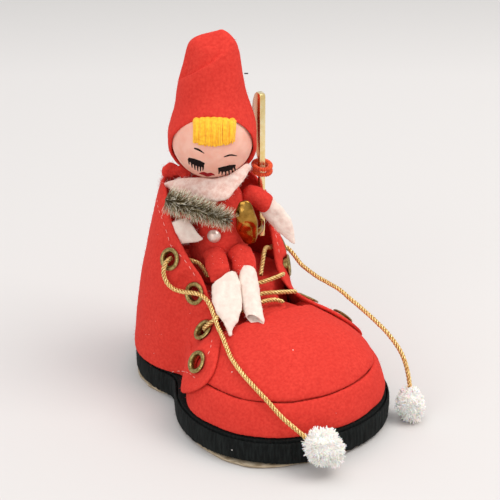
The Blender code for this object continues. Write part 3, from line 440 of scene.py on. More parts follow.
def bristle(name, root, dark, light):
    """Stiff fibre of the bottle-brush tree, paler towards its tip, with painted shade: darker at the wire,
    where the crowded bristles shade one another.
    """
    made, tree, shader = new_material(name, dark, 0.5)
    colour = mottle(tree, shader, dark, light, 1.6, spread=(0.4, 0.62))[1]
    tip = add_node(tree, "ShaderNodeAttribute", {"attribute_name": "tip"}).outputs["Fac"]
    # Painted shade: the root colour darkens each bristle towards the wire.
    tree.links.new(blend(tree, tip, (0.45, 0.85), root, colour), shader.inputs["Base Color"])
    return made


def gilt(name, base, dark, roughness):
    """Vacuum-metallised plastic: a bright gold mirror over slightly wavy moulding, mottled with darker
    patches that are painted reflections.
    """
    bumps = [(3.5, 0.12, 2.0), (0.8, 0.012, 2.0)]
    return surfaced(name, base, roughness, (dark, base, 4.0), bumps, metallic=1.0)


def paint(name, base, dark):
    """Brush paint on the face, thin and slightly uneven."""
    return surfaced(name, base, 0.85, (dark, base, 0.8), specular_ior_level=0.15)


RED_FELT = felt("red_wool_felt", "D3392E", "CA332A", "DA4034")
WHITE_FELT = felt("thin_white_felt", "EAD8CA", "E5CEC1", "EFE0D3", sheen=0.3, size=2.4)
# The collar's felt is thin enough for the red below to tint it pink.
PINK_FELT = felt("white_felt_thin_enough_to_show_red_through", "EBCBBD", "DDB3A4", "F2DCD0", size=2.2)

# Single fibres and the sewing thread are plain, since each is thinner than a mottle's spot.
RED_FIBRE = new_material("red_wool_fibre", "D9433A", 0.9)[0]
BLACK_FIBRE = new_material("black_wool_fibre", "1B1E1C", 0.9)[0]
WHITE_FIBRE = new_material("white_wool_fibre", "F6EAE4", 0.9)[0]
THREAD = new_material("pinkish_white_sewing_thread", "EDB9AF", 0.8)[0]

# Black felt strip, brushed across its width into fine upright streaks.
BLACK_FELT = surfaced("black_brushed_felt", "0D100F", 0.92, ("080A09", "1D2120", 0.9), [(0.7, 0.22, 3.0)],
                      {"stretch": (1, 1, 0.16), "spread": (0.4, 0.75)}, sheen_weight=0.06,
                      sheen_roughness=0.4, specular_ior_level=0.2, sheen_tint=linear("4A524E"))
# Grey-brown pulp board: pressed layers run along its cut edge.
CARDBOARD = surfaced("grey_pulp_board", "A89478", 0.9, ("8A765C", "BBAA90", 0.5), [(0.5, 0.1, 3.0)],
                     {"stretch": (0.12, 0.12, 1.6)})
# Stamped brass eyelet, dull with handling and darker in its pits.
BRASS = surfaced("dull_stamped_brass", "A08A50", 0.36, ("7E6A3A", "B5A068", 0.8), [(0.6, 0.02, 3.0)],
                 metallic=1.0)
GOLD_CORD = metallised_thread()
# White pile of the pompoms, mottled at random with a slightly pink white, a painted shade for the pinkish
# shadow among the tufts.
PILE = surfaced("white_chenille_pile", "FFFCF8", 0.9, ("F7EBE2", "FFFAF4", 1.2), sheen_weight=0.4,
                sheen_roughness=0.5, subsurface_weight=0.4, subsurface_scale=0.002)
# Pressed pulp ball with thin flesh-pink paint, its pulp showing as faint pits.
SKIN = surfaced("matt_flesh-pink_paint", "E9AE98", 0.6, ("E6A792", "ECB6A2", 5.0),
                [(3.0, 0.12, 2.0), (0.5, 0.03, 3.0)], subsurface_weight=0.12, subsurface_scale=0.002,
                specular_ior_level=0.3)
# Yellow knitting yarn: long fine fibres, mottled at random with a deeper orange.
YARN = surfaced("yellow_wool_yarn", "FDC821", 0.85, ("F0A912", "FCC62C", 1.3), [(0.35, 0.03, 3.0)],
                sheen_weight=0.2, sheen_roughness=0.5)
# Moulded pearl bead: white-pink lacquer with a clear coat.
PEARL = surfaced("pearl_lacquer", "E2C4B4", 0.28, ("D2AC9B", "F1DDD2", 2.2), coat_weight=0.8,
                 coat_roughness=0.08, metallic=0.35)
# Thin drawn iron wire, dark with age.
IRON = surfaced("dark_iron_wire", "4A4A4C", 0.45, ("3A3A3C", "66666A", 0.5), metallic=0.9)
# The first colour of each bristle is the painted shade at the wire.
BRISTLE = bristle("grey-beige_bristle", "5C4C2E", "8E7D55", "CDC09A")
BRISTLE_TIP = bristle("frosted_bristle_tip", "6E5F40", "DDD2B6", "FBF5E4")
# Painted reflections: the plate's gilt is a paler copy of the same gold, for the pale backdrop it mirrors;
# the sound box's is a darker copy, its dark patches standing for the darker things it mirrors.
PALE_GILT = gilt("pale_gold_metallised_plastic", "FAE9B8", "EFD089", 0.25)
GILT = gilt("gold_metallised_plastic", "BC8F45", "8A6026", 0.16)
# Painted reflection: orange gilt for the plate's side that faces the hat, standing for the red hat mirrored
# in it.
HAT_REFLECTION_GILT = new_material("gilt_with_painted_hat_reflection", "E08A3C", 0.22, metallic=0.85)[0]
# Orange-red chenille cord, its pile set in tight ribs.
CHENILLE = surfaced("orange_chenille", "E2471C", 0.85, ("C8320F", "F0602A", 0.7), [(0.3, 0.06, 3.0)],
                    sheen_weight=0.3, sheen_roughness=0.4)
# Loose white wadding that stuffs the boot.
WADDING = surfaced("loose_wadding", "E9E2DC", 0.95, ("CFC4BC", "F3EEEA", 2.2), [(1.2, 0.5, 3.0)],
                   sheen_weight=0.2, sheen_roughness=0.6)
LASH_PAINT = paint("black-brown_face_paint", "1C0F0D", "100807")
LIP_PAINT = paint("red_face_paint", "A81C24", "8E141B")


# Cords


def carried(points):
    """Steady cross directions along a route, each turned from the last with the route."""
    made = []
    side = None
    for n, point in enumerate(points):
        along = (points[min(n + 1, len(points) - 1)] - points[max(n - 1, 0)]).normalized()
        start = along.orthogonal() if side is None else side
        side = (start - start.dot(along) * along).normalized()
        made.append((point, side, along.cross(side)))
    return made


def twisted_cord(name, points, pitch=4.4 * MM):
    """A three-strand twisted cord along a route, as one mesh."""
    strand = CORD_RADIUS * 0.464
    offset = CORD_RADIUS - strand
    points = smooth_route(points, CORD_STEP)
    data = strand_curve(name, strand)
    placed = carried(points)
    for k in range(3):
        line = data.splines.new("POLY")
        line.points.add(len(placed) - 1)
        for n, (point, side, other) in enumerate(placed):
            a = math.tau * (n * CORD_STEP / pitch + k / 3)
            line.points[n].co = (*(point + (side * math.cos(a) + other * math.sin(a)) * offset), 1.0)
    mesh = mesh_of_curve(data)
    mesh.name = name
    near = KDTree(len(points))
    for n, point in enumerate(points):
        near.insert(point, n)
    near.balance()
    depth = mesh.attributes.new("depth", "FLOAT", "POINT")
    for n, vertex in enumerate(mesh.vertices):
        depth.data[n].value = near.find(vertex.co)[2] / CORD_RADIUS
    piece = place(name, mesh, GOLD_CORD)
    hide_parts(name)
    return piece, points


def route_length(points):
    """Length of a route."""
    return sum((b - a).length for a, b in zip(points, points[1:]))


LACE_RIGHT = [
    (-26.2, 20.4, 61.0), (-29.2, 19.2, 60.7), (-30.8, 19.0, 58.0), (-31.0, 18.4, 54.9),
    (-30.5, 16.6, 52.2), (-29.6, 13.8, 50.8), (-28.4, 10.8, 50.6), (-27.1, 7.8, 50.9),
    (-25.7, 4.9, 51.4), (-24.2, 2.0, 51.3), (-23.1, -0.9, 50.2), (-22.9, -3.5, 48.3),
    (-23.2, -6.1, 46.3), (-23.7, -8.6, 44.2), (-24.2, -11.2, 42.3), (-25.0, -14.2, 41.5),
    (-26.0, -17.3, 41.0), (-26.7, -20.2, 39.6), (-27.3, -23.0, 38.0), (-27.9, -25.9, 36.6),
    (-28.4, -29.1, 35.8), (-28.8, -32.2, 35.0), (-28.9, -35.4, 34.0), (-28.8, -38.5, 32.9),
    (-28.4, -41.5, 31.7), (-27.8, -44.4, 30.2), (-27.0, -47.1, 28.6), (-26.1, -49.7, 26.8),
    (-25.1, -52.0, 24.7), (-23.9, -54.2, 22.5), (-22.6, -56.5, 20.6), (-21.2, -58.9, 18.9),
    (-19.7, -61.2, 17.1), (-18.2, -63.4, 15.2)]
LACE_LEFT = [
    (28.2, 22.9, 51.3), (31.3, 21.0, 50.9), (32.2, 17.8, 49.5), (32.5, 14.5, 47.7), (32.6, 11.2, 46.2),
    (33.0, 7.6, 45.3), (33.4, 4.0, 44.6), (34.0, 0.5, 43.9), (34.6, -3.2, 43.6), (35.1, -6.8, 43.3),
    (35.6, -10.4, 43.0), (36.2, -14.0, 42.1), (36.8, -17.3, 40.8), (37.6, -20.7, 39.6),
    (38.1, -24.2, 38.5), (38.5, -27.7, 37.5), (38.9, -31.2, 36.4), (39.4, -34.6, 35.0),
    (40.0, -37.9, 33.5), (40.5, -41.1, 31.6), (40.9, -44.1, 29.6), (41.3, -46.8, 27.1),
    (41.5, -49.0, 24.2), (41.6, -50.7, 20.9), (41.6, -52.0, 17.5), (41.4, -53.2, 14.0)]
CROSSINGS = {
    "lace_cross_1": [(-22.0, 16.0, 61.2), (-16.6, 14.4, 58.2), (-13.8, 12.0, 52.6)],
    "lace_cross_2": [(24.6, 22.0, 52.6), (20.6, 17.4, 54.6), (16.6, 14.3, 57.0), (12.9, 10.6, 57.0),
                     (9.6, 7.2, 53.4), (6.8, 4.2, 50.8)],
    "lace_cross_3": [(-17.0, 3.6, 48.8), (-10.0, 1.5, 50.0), (0.0, -0.6, 50.4), (8.0, -1.6, 51.0),
                     (13.6, -0.8, 51.0), (16.2, 1.4, 50.0)],
    "lace_cross_4": [(-24.6, -2.4, 37.4), (-26.4, -5.0, 40.4), (-23.4, -8.0, 44.4), (-18.6, -7.4, 46.6),
                     (-13.5, -4.8, 45.8), (-8.0, -4.6, 46.6), (2.0, -4.4, 47.2), (9.0, -6.6, 46.8),
                     (16.4, -7.8, 45.6)],
    "lace_cross_5": [(-11.4, -9.0, 44.8), (-4.0, -8.6, 46.0), (4.0, -8.8, 45.6), (8.6, -9.6, 43.8)],
}


def make_pompom(name, centre, along, half_length, radius, seed):
    """A ball of white pile bound on the cord's end: a lumpy core and stubby tufts."""
    rng = random.Random(seed)
    bm = bmesh.new()
    bmesh.ops.create_icosphere(bm, subdivisions=4, radius=1.0)
    turn = along.to_track_quat("Z", "Y").to_matrix().to_4x4()
    bmesh.ops.scale(bm, verts=bm.verts, vec=(radius * 0.84, radius * 0.84, half_length * 0.88))
    bmesh.ops.transform(bm, matrix=Matrix.Translation(centre) @ turn, verts=bm.verts)
    core = finish_bmesh(bm, name, PILE, 180)
    uneven(core, (3.4, 1.5, seed))
    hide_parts(name)
    floor = 0.35 * MM
    reach = 2.0 * MM
    spots = []
    for point, normal in scattered(core, 1150, seed):
        wild = Vector((rng.gauss(0, 1), rng.gauss(0, 1), rng.gauss(0, 1))) * 0.34
        direction = (normal + wild).normalized()
        size = rng.uniform(0.7, 1.25)
        if (point + direction * reach * size).z < floor:
            direction.z = abs(direction.z) * 0.2
            direction.normalize()
            if (point + direction * reach * size).z < floor:
                continue
        spots.append(aim(point - normal * 0.5 * MM, direction, rng.random() * math.tau, size))
    stub = hair_shape(0.36 * MM, 2.1 * MM, 0.5 * MM, sides=5)
    tufts = repeat_shape(name + "_tufts", stub, spots, PILE)
    return [core, tufts]


def make_laces():
    """The free ends with their pompoms, and the crossings that are held in the eyelets."""
    right_tip, left_tip = mm(*LACE_RIGHT[-1]), mm(*LACE_LEFT[-1])
    right_line = (mm(-12.6, -69.0, 11.2) - right_tip).normalized()
    left_line = (mm(40.5, -55.2, 6.4) - left_tip).normalized()
    right_centre = right_tip + right_line * 8.4 * MM
    left_centre = left_tip + left_line * 7.3 * MM
    right_tuft = make_pompom("pompom_right", right_centre, right_line, 8.2 * MM, 6.9 * MM, 11)
    left_tuft = make_pompom("pompom_left", left_centre, left_line, 7.0 * MM, 5.4 * MM, 12)
    ends = (("lace_end_right", LACE_RIGHT, right_tuft), ("lace_end_left", LACE_LEFT, left_tuft))
    for name, stops, tuft in ends:
        piece, points = twisted_cord(name, [mm(*p) for p in stops])
    for name, stops in CROSSINGS.items():
        twisted_cord(name, [mm(*p) for p in stops])


make_camera()
make_laces()


# Boot


def along_surface(tree, pixels):
    """Points and normals a stitch apart on a surface, along a line drawn through points of the picture."""
    line = smooth_route([Vector((x, y, 0)) for x, y in pixels], 0.5)
    hits = [seen(tree, p.x, p.y) for p in line]
    return on_surface(tree, [h for h in hits if h is not None])


def on_surface(tree, stops):
    """Points and normals a stitch apart on a surface, along a line through stops near it."""
    lift = 0.05 * MM
    made = []
    for point in smooth_route(stops, STITCH_STEP):
        spot, normal = tree.find_nearest(point)[:2]
        made.append((spot + normal * lift, normal))
    return made


def make_stitches(lines):
    """Running stitches: a rounded thread length at every other step of each line."""
    length, thickness = 1.7 * MM, 0.2 * MM
    shape = bmesh.new()
    bmesh.ops.create_uvsphere(shape, u_segments=6, v_segments=6, radius=1.0)
    bmesh.ops.scale(shape, verts=shape.verts, vec=(thickness / 2, thickness / 2, length / 2))
    spots = []
    for line in lines:
        for (a, _), (b, _) in list(zip(line, line[1:]))[::2]:
            spots.append(aim((a + b) / 2, (b - a).normalized()))
    repeat_shape("boot_stitches", shape, spots, THREAD)


def bare_board(point):
    """How far the sole board shows below the band, from 0 to 1: at the toe's front and the heel's side."""
    across = (point - HEAD_CENTRE).dot(VIEW_RIGHT) / MM
    front = math.exp(-((across - 13.0) / 15.0) ** 2) if point.y < 0 else 0.0
    heel = math.exp(-((across + 31.0) / 6.0) ** 2) * 0.6
    return min(1.0, front + heel)


def make_sole():
    """Cardboard sole board, and the black felt band that laps over most of the board's edge."""
    board = soften("sole_board", CARDBOARD, 0.6, ease=3)
    for vertex in board.data.vertices:
        hidden = 1 - bare_board(vertex.co)
        vertex.co.x *= 1 - 0.055 * hidden
        vertex.co.y *= 1 - 0.038 * hidden
    band = soften("sole_band", BLACK_FELT, 0.45, ease=3)
    for vertex in band.data.vertices:
        low = min(max((5.0 * MM - vertex.co.z) / (3.2 * MM), 0.0), 1.0)
        vertex.co.z -= low * 1.35 * MM * (1 - bare_board(vertex.co))

    def streaks(point, normal):
        level = 1.0 - abs(normal.z)
        spot = Vector((point.x / (1.3 * MM), point.y / (1.3 * MM), point.z / (12 * MM)))
        return (noise.noise(spot) * 0.22 + noise.noise(spot * 0.25) * 0.25) * level * MM

    press(band, streaks)
    fuzz(band, "sole_band_fuzz", BLACK_FIBRE, 1400, 0.9, 21, lie=1.0,
         keep=lambda p, n: abs(n.z) < 0.5 and p.z > 2.5 * MM)


def make_upper(seats):
    """Toe side, toe top, tongue and the two quarters, with stitches and loose fibres."""
    side = soften("toe_side", RED_FELT, 0.45, ease=4)
    top = soften("toe_top", RED_FELT, 0.45, ease=4)
    swell(side, 0.2)
    swell(top, 0.45)
    tongue = soften("tongue", RED_FELT, 0.4, ease=4)
    for piece, seed in ((side, 31), (top, 32), (tongue, 33)):
        uneven(piece, (9.0, 0.45, seed), (1.6, 0.10, seed + 5))
    quarters = {}
    for label, seed in (("right", 34), ("left", 35)):
        name = f"quarter_{label}"
        piece = soften(name, RED_FELT, 0.5, ease=8)
        uneven(piece, (12.0, 0.4, seed), (1.6, 0.10, seed + 5))
        swell(piece, 0.2)
        lean_felt(piece, [seat for node, seat in seats.items() if label in node])
        quarters[label] = piece
    right = surface_of(quarters["right"])
    left = surface_of(quarters["left"])
    front_edge = [(157, 196), (158, 207), (163, 221), (168, 236), (171, 246), (181, 256), (189, 266),
                  (197, 279)]
    welt = [(156, 371), (166, 373), (178, 371), (189, 373), (197, 380)]
    tab = [(212, 340), (210, 350), (206, 358)]
    seams = [along_surface(right, line) for line in (front_edge, welt, tab)]
    mirrored = [on_surface(left, [Vector((-p.x, p.y, p.z)) for p, _ in seam]) for seam in seams]
    make_stitches(seams + mirrored)
    for label, seed in (("right", 41), ("left", 42)):
        fuzz(quarters[label], f"quarter_{label}_fuzz", RED_FIBRE, 2400, 1.1, seed, lie=0.7)
        fuzz(quarters[label], f"quarter_{label}_rim", RED_FIBRE, 500, 1.7, seed + 2, lie=0.6,
             keep=lambda p, n: p.z > 83.5 * MM)
    fuzz(top, "toe_top_fuzz", RED_FIBRE, 1200, 0.9, 43, lie=0.6, keep=lambda p, n: n.z > 0)
    fuzz(side, "toe_side_fuzz", RED_FIBRE, 900, 0.9, 44, lie=0.7)


# Each eyelet's lean: towards the eye, and to the picture's right and up.
EYELET_LEAN = {
    "eyelet_right_1": (0.80, -0.58, 0.10),
    "eyelet_right_2": (0.72, -0.69, 0.08),
    "eyelet_right_3": (0.52, -0.72, 0.46),
    "eyelet_right_4": (0.66, -0.72, 0.20),
}


def eyelet_seats():
    """Centre, CAD axis and leaning axis of every eyelet's seat on the felt."""
    seats = {}
    for label in ("right", "left"):
        for n in range(1, 5):
            node = f"eyelet_{label}_{n}"
            points = np.array([v.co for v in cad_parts[node].data.vertices])
            points = np.unique(points.round(7), axis=0)
            centre = Vector(points.mean(axis=0))
            axis = Vector(np.linalg.svd(points - points.mean(axis=0))[2][2]).normalized()
            if axis.dot(centre - mm(0, 10, 20)) < 0:
                axis.negate()
            heights = [(Vector(p) - centre).dot(axis) for p in points]
            lean = axis
            if node in EYELET_LEAN:
                near, right, up = EYELET_LEAN[node]
                towards = VIEW_BACK * near + VIEW_RIGHT * right + VIEW_UP * up
                lean = (axis * 0.35 + towards * 0.65).normalized()
            sunk = 1.0 if node in EYELET_LEAN else 1.5
            seats[node] = (centre + axis * (max(heights) - sunk * MM), axis, lean)
    return seats


def lean_felt(piece, seats):
    """Leans the felt round each eyelet so that it lies flat under the eyelet's rim."""
    reach = 11 * MM
    highest = 3 * MM
    for centre, axis, lean in seats:
        if axis == lean:
            continue
        for vertex in piece.data.vertices:
            offset = vertex.co - centre
            flat = offset - axis * offset.dot(axis)
            if flat.length < reach and abs(offset.dot(axis)) < 4 * MM:
                share = min(max((reach - flat.length) / (6 * MM), 0.0), 1.0)
                rise = -flat.dot(lean) / axis.dot(lean)
                vertex.co += axis * max(min(rise, highest), -highest) * share * share * (3 - 2 * share)
    piece.data.update()


def make_eyelets(seats):
    """Rolled brass eyelets on their seats."""
    hole, rim = 3.0 * MM, 4.75 * MM
    for node, (seat, _, lean) in seats.items():
        bm = bmesh.new()
        profile = [(hole, -1.7), (hole, 0.3), (hole + 0.3 * MM, 0.62), (rim - 0.9 * MM, 0.8),
                   (rim - 0.35 * MM, 0.66), (rim, 0.25), (rim - 0.1 * MM, 0.0), (rim - 0.5 * MM, -0.05),
                   (hole + 0.3 * MM, -0.05), (hole + 0.25 * MM, -1.7)]
        ring = [bm.verts.new((r, 0, z * MM)) for r, z in profile]
        edges = [bm.edges.new((a, b)) for a, b in zip(ring, ring[1:] + ring[:1])]
        turn_round(bm, ring + edges)
        bmesh.ops.transform(bm, matrix=aim(seat, lean), verts=bm.verts)
        piece = finish_bmesh(bm, node, BRASS, 50)
        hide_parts(node)


def make_rim_lobes():
    """Torn lobes of the boot's back rim that stand up between the collar and the head."""
    lobes = (((-20.5, -15.5, -13.0), (-17.2, -12.6, -12.5), (-14.0, -13.6, -11.5)),
             ((-15.4, -14.6, -11.0), (-12.6, -13.4, -10.5), (-9.0, -15.0, -9.0)))
    for n, stops in enumerate(lobes):
        route = [from_head(stop) for stop in stops]
        rings = flat_tube(route, [(0.8, 0.6), (3.0, 1.4), (3.2, 1.5), (2.6, 1.2), (0.7, 0.5)], VIEW_UP, 12)
        lobe = rounded_tube(rings, f"rim_lobe_{n}", RED_FELT)
        uneven(lobe, (3.0, 1.1, 55 + n))
        fuzz(lobe, f"rim_lobe_{n}_fuzz", RED_FIBRE, 260, 1.6, 57 + n, lie=0.6)


def make_stuffing():
    """Inside of the boot: a red felt seat over the stuffing, and tufts of wadding at its edge."""
    seat = soften("shaft_stuffing", RED_FELT, 0.9, ease=6)
    uneven(seat, (6.0, 0.8, 51))
    fuzz(seat, "wadding_tufts", WADDING, 260, 3.2, 52, lie=0.5, thickness=0.06,
         keep=lambda p, n: n.z > 0.5 and p.x < -13 * MM and p.y > 8 * MM)


# Elf


def skin_rings(rings, capped=True):
    """A bmesh skinned over closed rings of points, with its end rings filled if asked."""
    bm = bmesh.new()
    loops = []
    for ring in rings:
        corners = [bm.verts.new(p) for p in ring]
        loops.append([bm.edges.new((a, b)) for a, b in zip(corners, corners[1:] + corners[:1])])
    for a, b in zip(loops, loops[1:]):
        bmesh.ops.bridge_loops(bm, edges=a + b)
    if capped:
        bmesh.ops.holes_fill(bm, edges=loops[0] + loops[-1], sides=0)
    return bm


def flat_tube(stops, sections, across, count, segments=16, slants=()):
    """Rings of a flattened tube along a route, from (half width, half thickness) sections in mm.

    A slant moves a section's ring along the route in mm, on its wide side and on its flat side.
    """
    length = route_length(smooth_route(stops, 0.5 * MM))
    route = smooth_route(stops, length / (count - 1))
    rings = []
    for n, centre in enumerate(route):
        along = (route[min(n + 1, len(route) - 1)] - route[max(n - 1, 0)]).normalized()
        side = (across - across.dot(along) * along).normalized()
        up = along.cross(side)
        at = n / (len(route) - 1) * (len(sections) - 1)
        low = min(int(at), len(sections) - 2)
        wide, thick = (a + (b - a) * (at - low) for a, b in zip(sections[low], sections[low + 1]))
        lean, tip = (0.0, 0.0)
        if slants:
            lean, tip = (a + (b - a) * (at - low) for a, b in zip(slants[low], slants[low + 1]))
        ring = []
        for k in range(segments):
            c, t = math.cos(math.tau * k / segments), math.sin(math.tau * k / segments)
            ring.append(centre + (side * wide * c + up * thick * t + along * (lean * c + tip * t)) * MM)
        rings.append(ring)
    return rings


def rounded_tube(rings, name, finish):
    """A closed piece skinned over rings and rounded."""
    piece = finish_bmesh(skin_rings(rings), name, finish, 180)
    add_rounding(piece)
    apply_modifiers(piece)
    return piece


def thicken(piece, thickness):
    """Gives an open shell a felt wall of a thickness in mm and rounds it."""
    wall = piece.modifiers.new("Wall", "SOLIDIFY")
    wall.thickness = thickness * MM
    wall.offset = -1
    add_rounding(piece)
    apply_modifiers(piece)


def brush_stroke(name, tree, pixels, widths, finish=LASH_PAINT):
    """A stroke of face paint along points of the picture, its widths in mm, laid on the head."""
    line = smooth_route([Vector((x, y, 0)) for x, y in pixels], 0.5)
    bm = bmesh.new()
    rows = []
    for n, spot in enumerate(line):
        ahead = line[min(n + 1, len(line) - 1)] - line[max(n - 1, 0)]
        beside = Vector((-ahead.y, ahead.x, 0)).normalized()
        at = n / (len(line) - 1) * (len(widths) - 1)
        low = min(int(at), len(widths) - 2)
        half = (widths[low] + (widths[low + 1] - widths[low]) * (at - low)) * FACE_PIXELS_PER_MM / 2
        row = []
        for share in (-1, -0.5, 0, 0.5, 1):
            p = spot + beside * half * share
            hit, normal = tree.ray_cast(EYE, sight(p.x, p.y))[:2]
            row.append(bm.verts.new(hit + normal * 0.05 * MM))
        rows.append(row)
    for a, b in zip(rows, rows[1:]):
        for k in range(4):
            bm.faces.new((a[k], a[k + 1], b[k + 1], b[k]))
    piece = finish_bmesh(bm, name, finish)
    wall = piece.modifiers.new("Wall", "SOLIDIFY")
    wall.thickness = 0.06 * MM
    wall.offset = 0


def make_head():
    """Painted ball head with closed eyes, brows and a small mouth."""
    bm = bmesh.new()
    bmesh.ops.create_uvsphere(bm, u_segments=64, v_segments=48, radius=HEAD_RADIUS)
    bmesh.ops.translate(bm, verts=bm.verts, vec=HEAD_CENTRE)
    head = finish_bmesh(bm, "head", SKIN, 180)
    uneven(head, (9.0, 0.2, 61))
    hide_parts("head")
    tree = surface_of(head)
    brush_stroke("brow_right", tree, [(194.2, 148.2), (199, 149.9), (204.3, 153.4)], (0.5, 0.8, 0.6, 0.15))
    brush_stroke("brow_left", tree, [(223.8, 156.9), (230.5, 155.0), (237, 155.8)], (0.3, 0.65, 0.6, 0.2))
    brush_stroke("lid_right", tree, [(188.2, 158.6), (196, 162.4), (204.2, 165.2)], (1.0, 2.3, 2.5, 1.8))
    brush_stroke("lid_left", tree, [(218.2, 169.6), (226.4, 168.6), (235.6, 165.2)], (1.4, 2.2, 2.1, 0.6))
    lashes = {
        "right": ((188.8, 159, 0.5, 5.4), (191.6, 161.6, 0.7, 6.0), (194.6, 163.4, 0.6, 6.4),
                  (197.6, 165, 0.3, 6.0), (200.4, 165.8, 0.2, 5.4), (203.2, 166, -0.3, 4.6)),
        "left": ((219.4, 169.6, -0.6, 4.6), (222.4, 170, -0.5, 5.2), (225.6, 170, 0.1, 5.2),
                 (228.8, 169.6, 0.5, 4.8), (231.8, 168.4, 1.0, 4.4), (234.2, 166.8, 1.4, 4.0)),
    }
    for label, strokes in lashes.items():
        for k, (x, y, dx, dy) in enumerate(strokes):
            line = [(x, y), (x + dx * 0.4, y + dy * 0.5), (x + dx, y + dy)]
            brush_stroke(f"lash_{label}_{k}", tree, line, (0.75, 0.6, 0.25))
    lips = [(199.2, 173.4), (203.4, 173.4), (207.2, 174.8), (211, 174.2), (214.8, 175)]
    brush_stroke("mouth", tree, lips, (0.3, 1.3, 1.4, 1.3, 0.3), LIP_PAINT)


def make_hair():
    """Fringe of yellow yarn: fine strands in seven locks, from under the brim down the forehead."""
    rng = random.Random(71)
    data = strand_curve("fringe", 0.36 * MM)
    locks = 7
    strands = 14
    root = 8.2
    for lock in range(locks):
        middle = -6.3 + 14.5 * lock / (locks - 1)
        arch = math.sin(math.pi * (lock + 0.7) / (locks + 0.4))
        low = -1.0 - 3.3 * arch ** 0.45
        for strand in range(strands):
            layer = strand % 2
            right = middle + (strand / (strands - 1) - 0.5) * 2.45
            height = 0.1 + layer * 0.45 + 1.1 * math.cos((right - middle) * 1.15)
            bottom = low + rng.uniform(-0.45, 0.3) + layer * 0.5
            lean = rng.uniform(-0.35, 0.35) + (0.9 - middle) * 0.05
            line = data.splines.new("POLY")
            line.points.add(9)
            for n in range(10):
                share = n / 9
                r = (right + lean * share + 0.18 * math.sin(4 * share + lock * 2.1)) * MM
                u = (root + (bottom - root) * share) * MM
                lift = 0.15 + 0.85 * min(1.0, share / 0.4)
                radius = HEAD_RADIUS + (height * lift * (1 - 0.5 * share ** 5) + 0.1) * MM
                out = math.sqrt(radius ** 2 - r ** 2 - u ** 2)
                spot = HEAD_CENTRE + VIEW_BACK * out + VIEW_RIGHT * r + VIEW_UP * u
                line.points[n].co = (*spot, 1.0)
    fringe = place("fringe", mesh_of_curve(data), YARN)
    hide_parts("fringe")


def above_line(spot, line):
    """How far a flat point lies above a line of flat stops, less than 0 where it is below."""
    nearest = None
    for a, b in zip(line, line[1:]):
        span = b - a
        share = min(max((spot - a).dot(span) / span.length_squared, 0.0), 1.0)
        gap = spot - (a + span * share)
        if nearest is None or gap.length < nearest.length:
            nearest = gap
            across = Vector((-span.y, span.x)).normalized()
    return nearest.dot(across)


def make_hat():
    """Felt hood: above a slanting fold its front is pushed in and leans out again towards the top."""
    hat = soften("hat", RED_FELT, 0.45, ease=10)
    for vertex in hat.data.vertices:
        vertex.co.z -= (1.2 + 0.5 * (vertex.co.z / MM - 91) / 60) * MM
    hat.data.update()
    fold = [Vector(p) for p in ((-22.0, 17.6), (-14.0, 21.0), (-8.4, 23.7), (-4.4, 25.7), (0.1, 28.1),
                                (4.6, 31.9), (9.0, 35.5))]
    facings = [v.normal.dot(VIEW_BACK) for v in hat.data.vertices]
    for vertex, faced in zip(hat.data.vertices, facings):
        side = min(max(faced * 1.7 - 0.35, 0.0), 1.0)
        offset = vertex.co - HEAD_CENTRE
        flat = Vector((offset.dot(VIEW_RIGHT), offset.dot(VIEW_UP))) / MM
        above = above_line(flat, fold)
        fade = min(max((7.0 - flat.x) / 14.0, 0.0), 1.0)
        start = min(max(above / 1.1, 0.0), 1.0)
        bulge = 1.6 * math.exp(-(above / 5.5) ** 2) * (1 - start)
        hollow = 5.0 * start * max(1 - above / 13.0, 0.0)
        vertex.co += VIEW_BACK * (bulge - hollow) * side * fade * MM
    hat.data.update()
    uneven(hat, (11.0, 0.6, 81), (1.5, 0.08, 82))
    fuzz(hat, "hat_fuzz", RED_FIBRE, 1800, 0.9, 83, lie=0.7)
    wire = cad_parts["hat_wire"]
    wire.data.materials.clear()
    wire.data.materials.append(IRON)


COLLAR_EDGES = (
    # The collar's upper and lower edge, all the way round from the elf's right over its front, in mm from
    # the head's centre: right and up in the picture, and towards the eye.
    ((-20.0, -18.1, -7.0), (-20.6, -19.8, -6.4)),
    ((-16.3, -16.9, -4.0), (-16.6, -21.6, -3.6)),
    ((-11.1, -16.2, 0.3), (-11.3, -23.6, 1.0)),
    ((-5.0, -16.3, 1.8), (-5.2, -25.2, 4.6)),
    ((0.2, -16.5, 3.7), (0.4, -26.3, 6.9)),
    ((3.4, -16.3, 4.0), (4.2, -26.4, 7.6)),
    ((6.4, -15.4, 4.2), (7.2, -24.4, 7.2)),
    ((9.4, -13.8, 4.0), (10.2, -21.2, 5.9)),
    ((12.3, -11.6, 3.0), (13.0, -17.7, 3.9)),
    ((14.4, -10.0, 0.3), (15.4, -12.9, 0.8)),
    ((14.0, -11.5, -6.0), (15.8, -13.2, -6.0)),
    ((11.0, -12.6, -11.5), (13.0, -13.6, -13.0)),
    ((2.0, -11.2, -15.2), (2.0, -11.8, -18.0)),
    ((-6.5, -12.9, -12.5), (-8.5, -14.0, -14.5)),
    ((-13.0, -15.6, -10.5), (-14.5, -16.8, -11.5)),
    ((-18.5, -18.0, -8.8), (-20.0, -19.6, -8.6)),
)


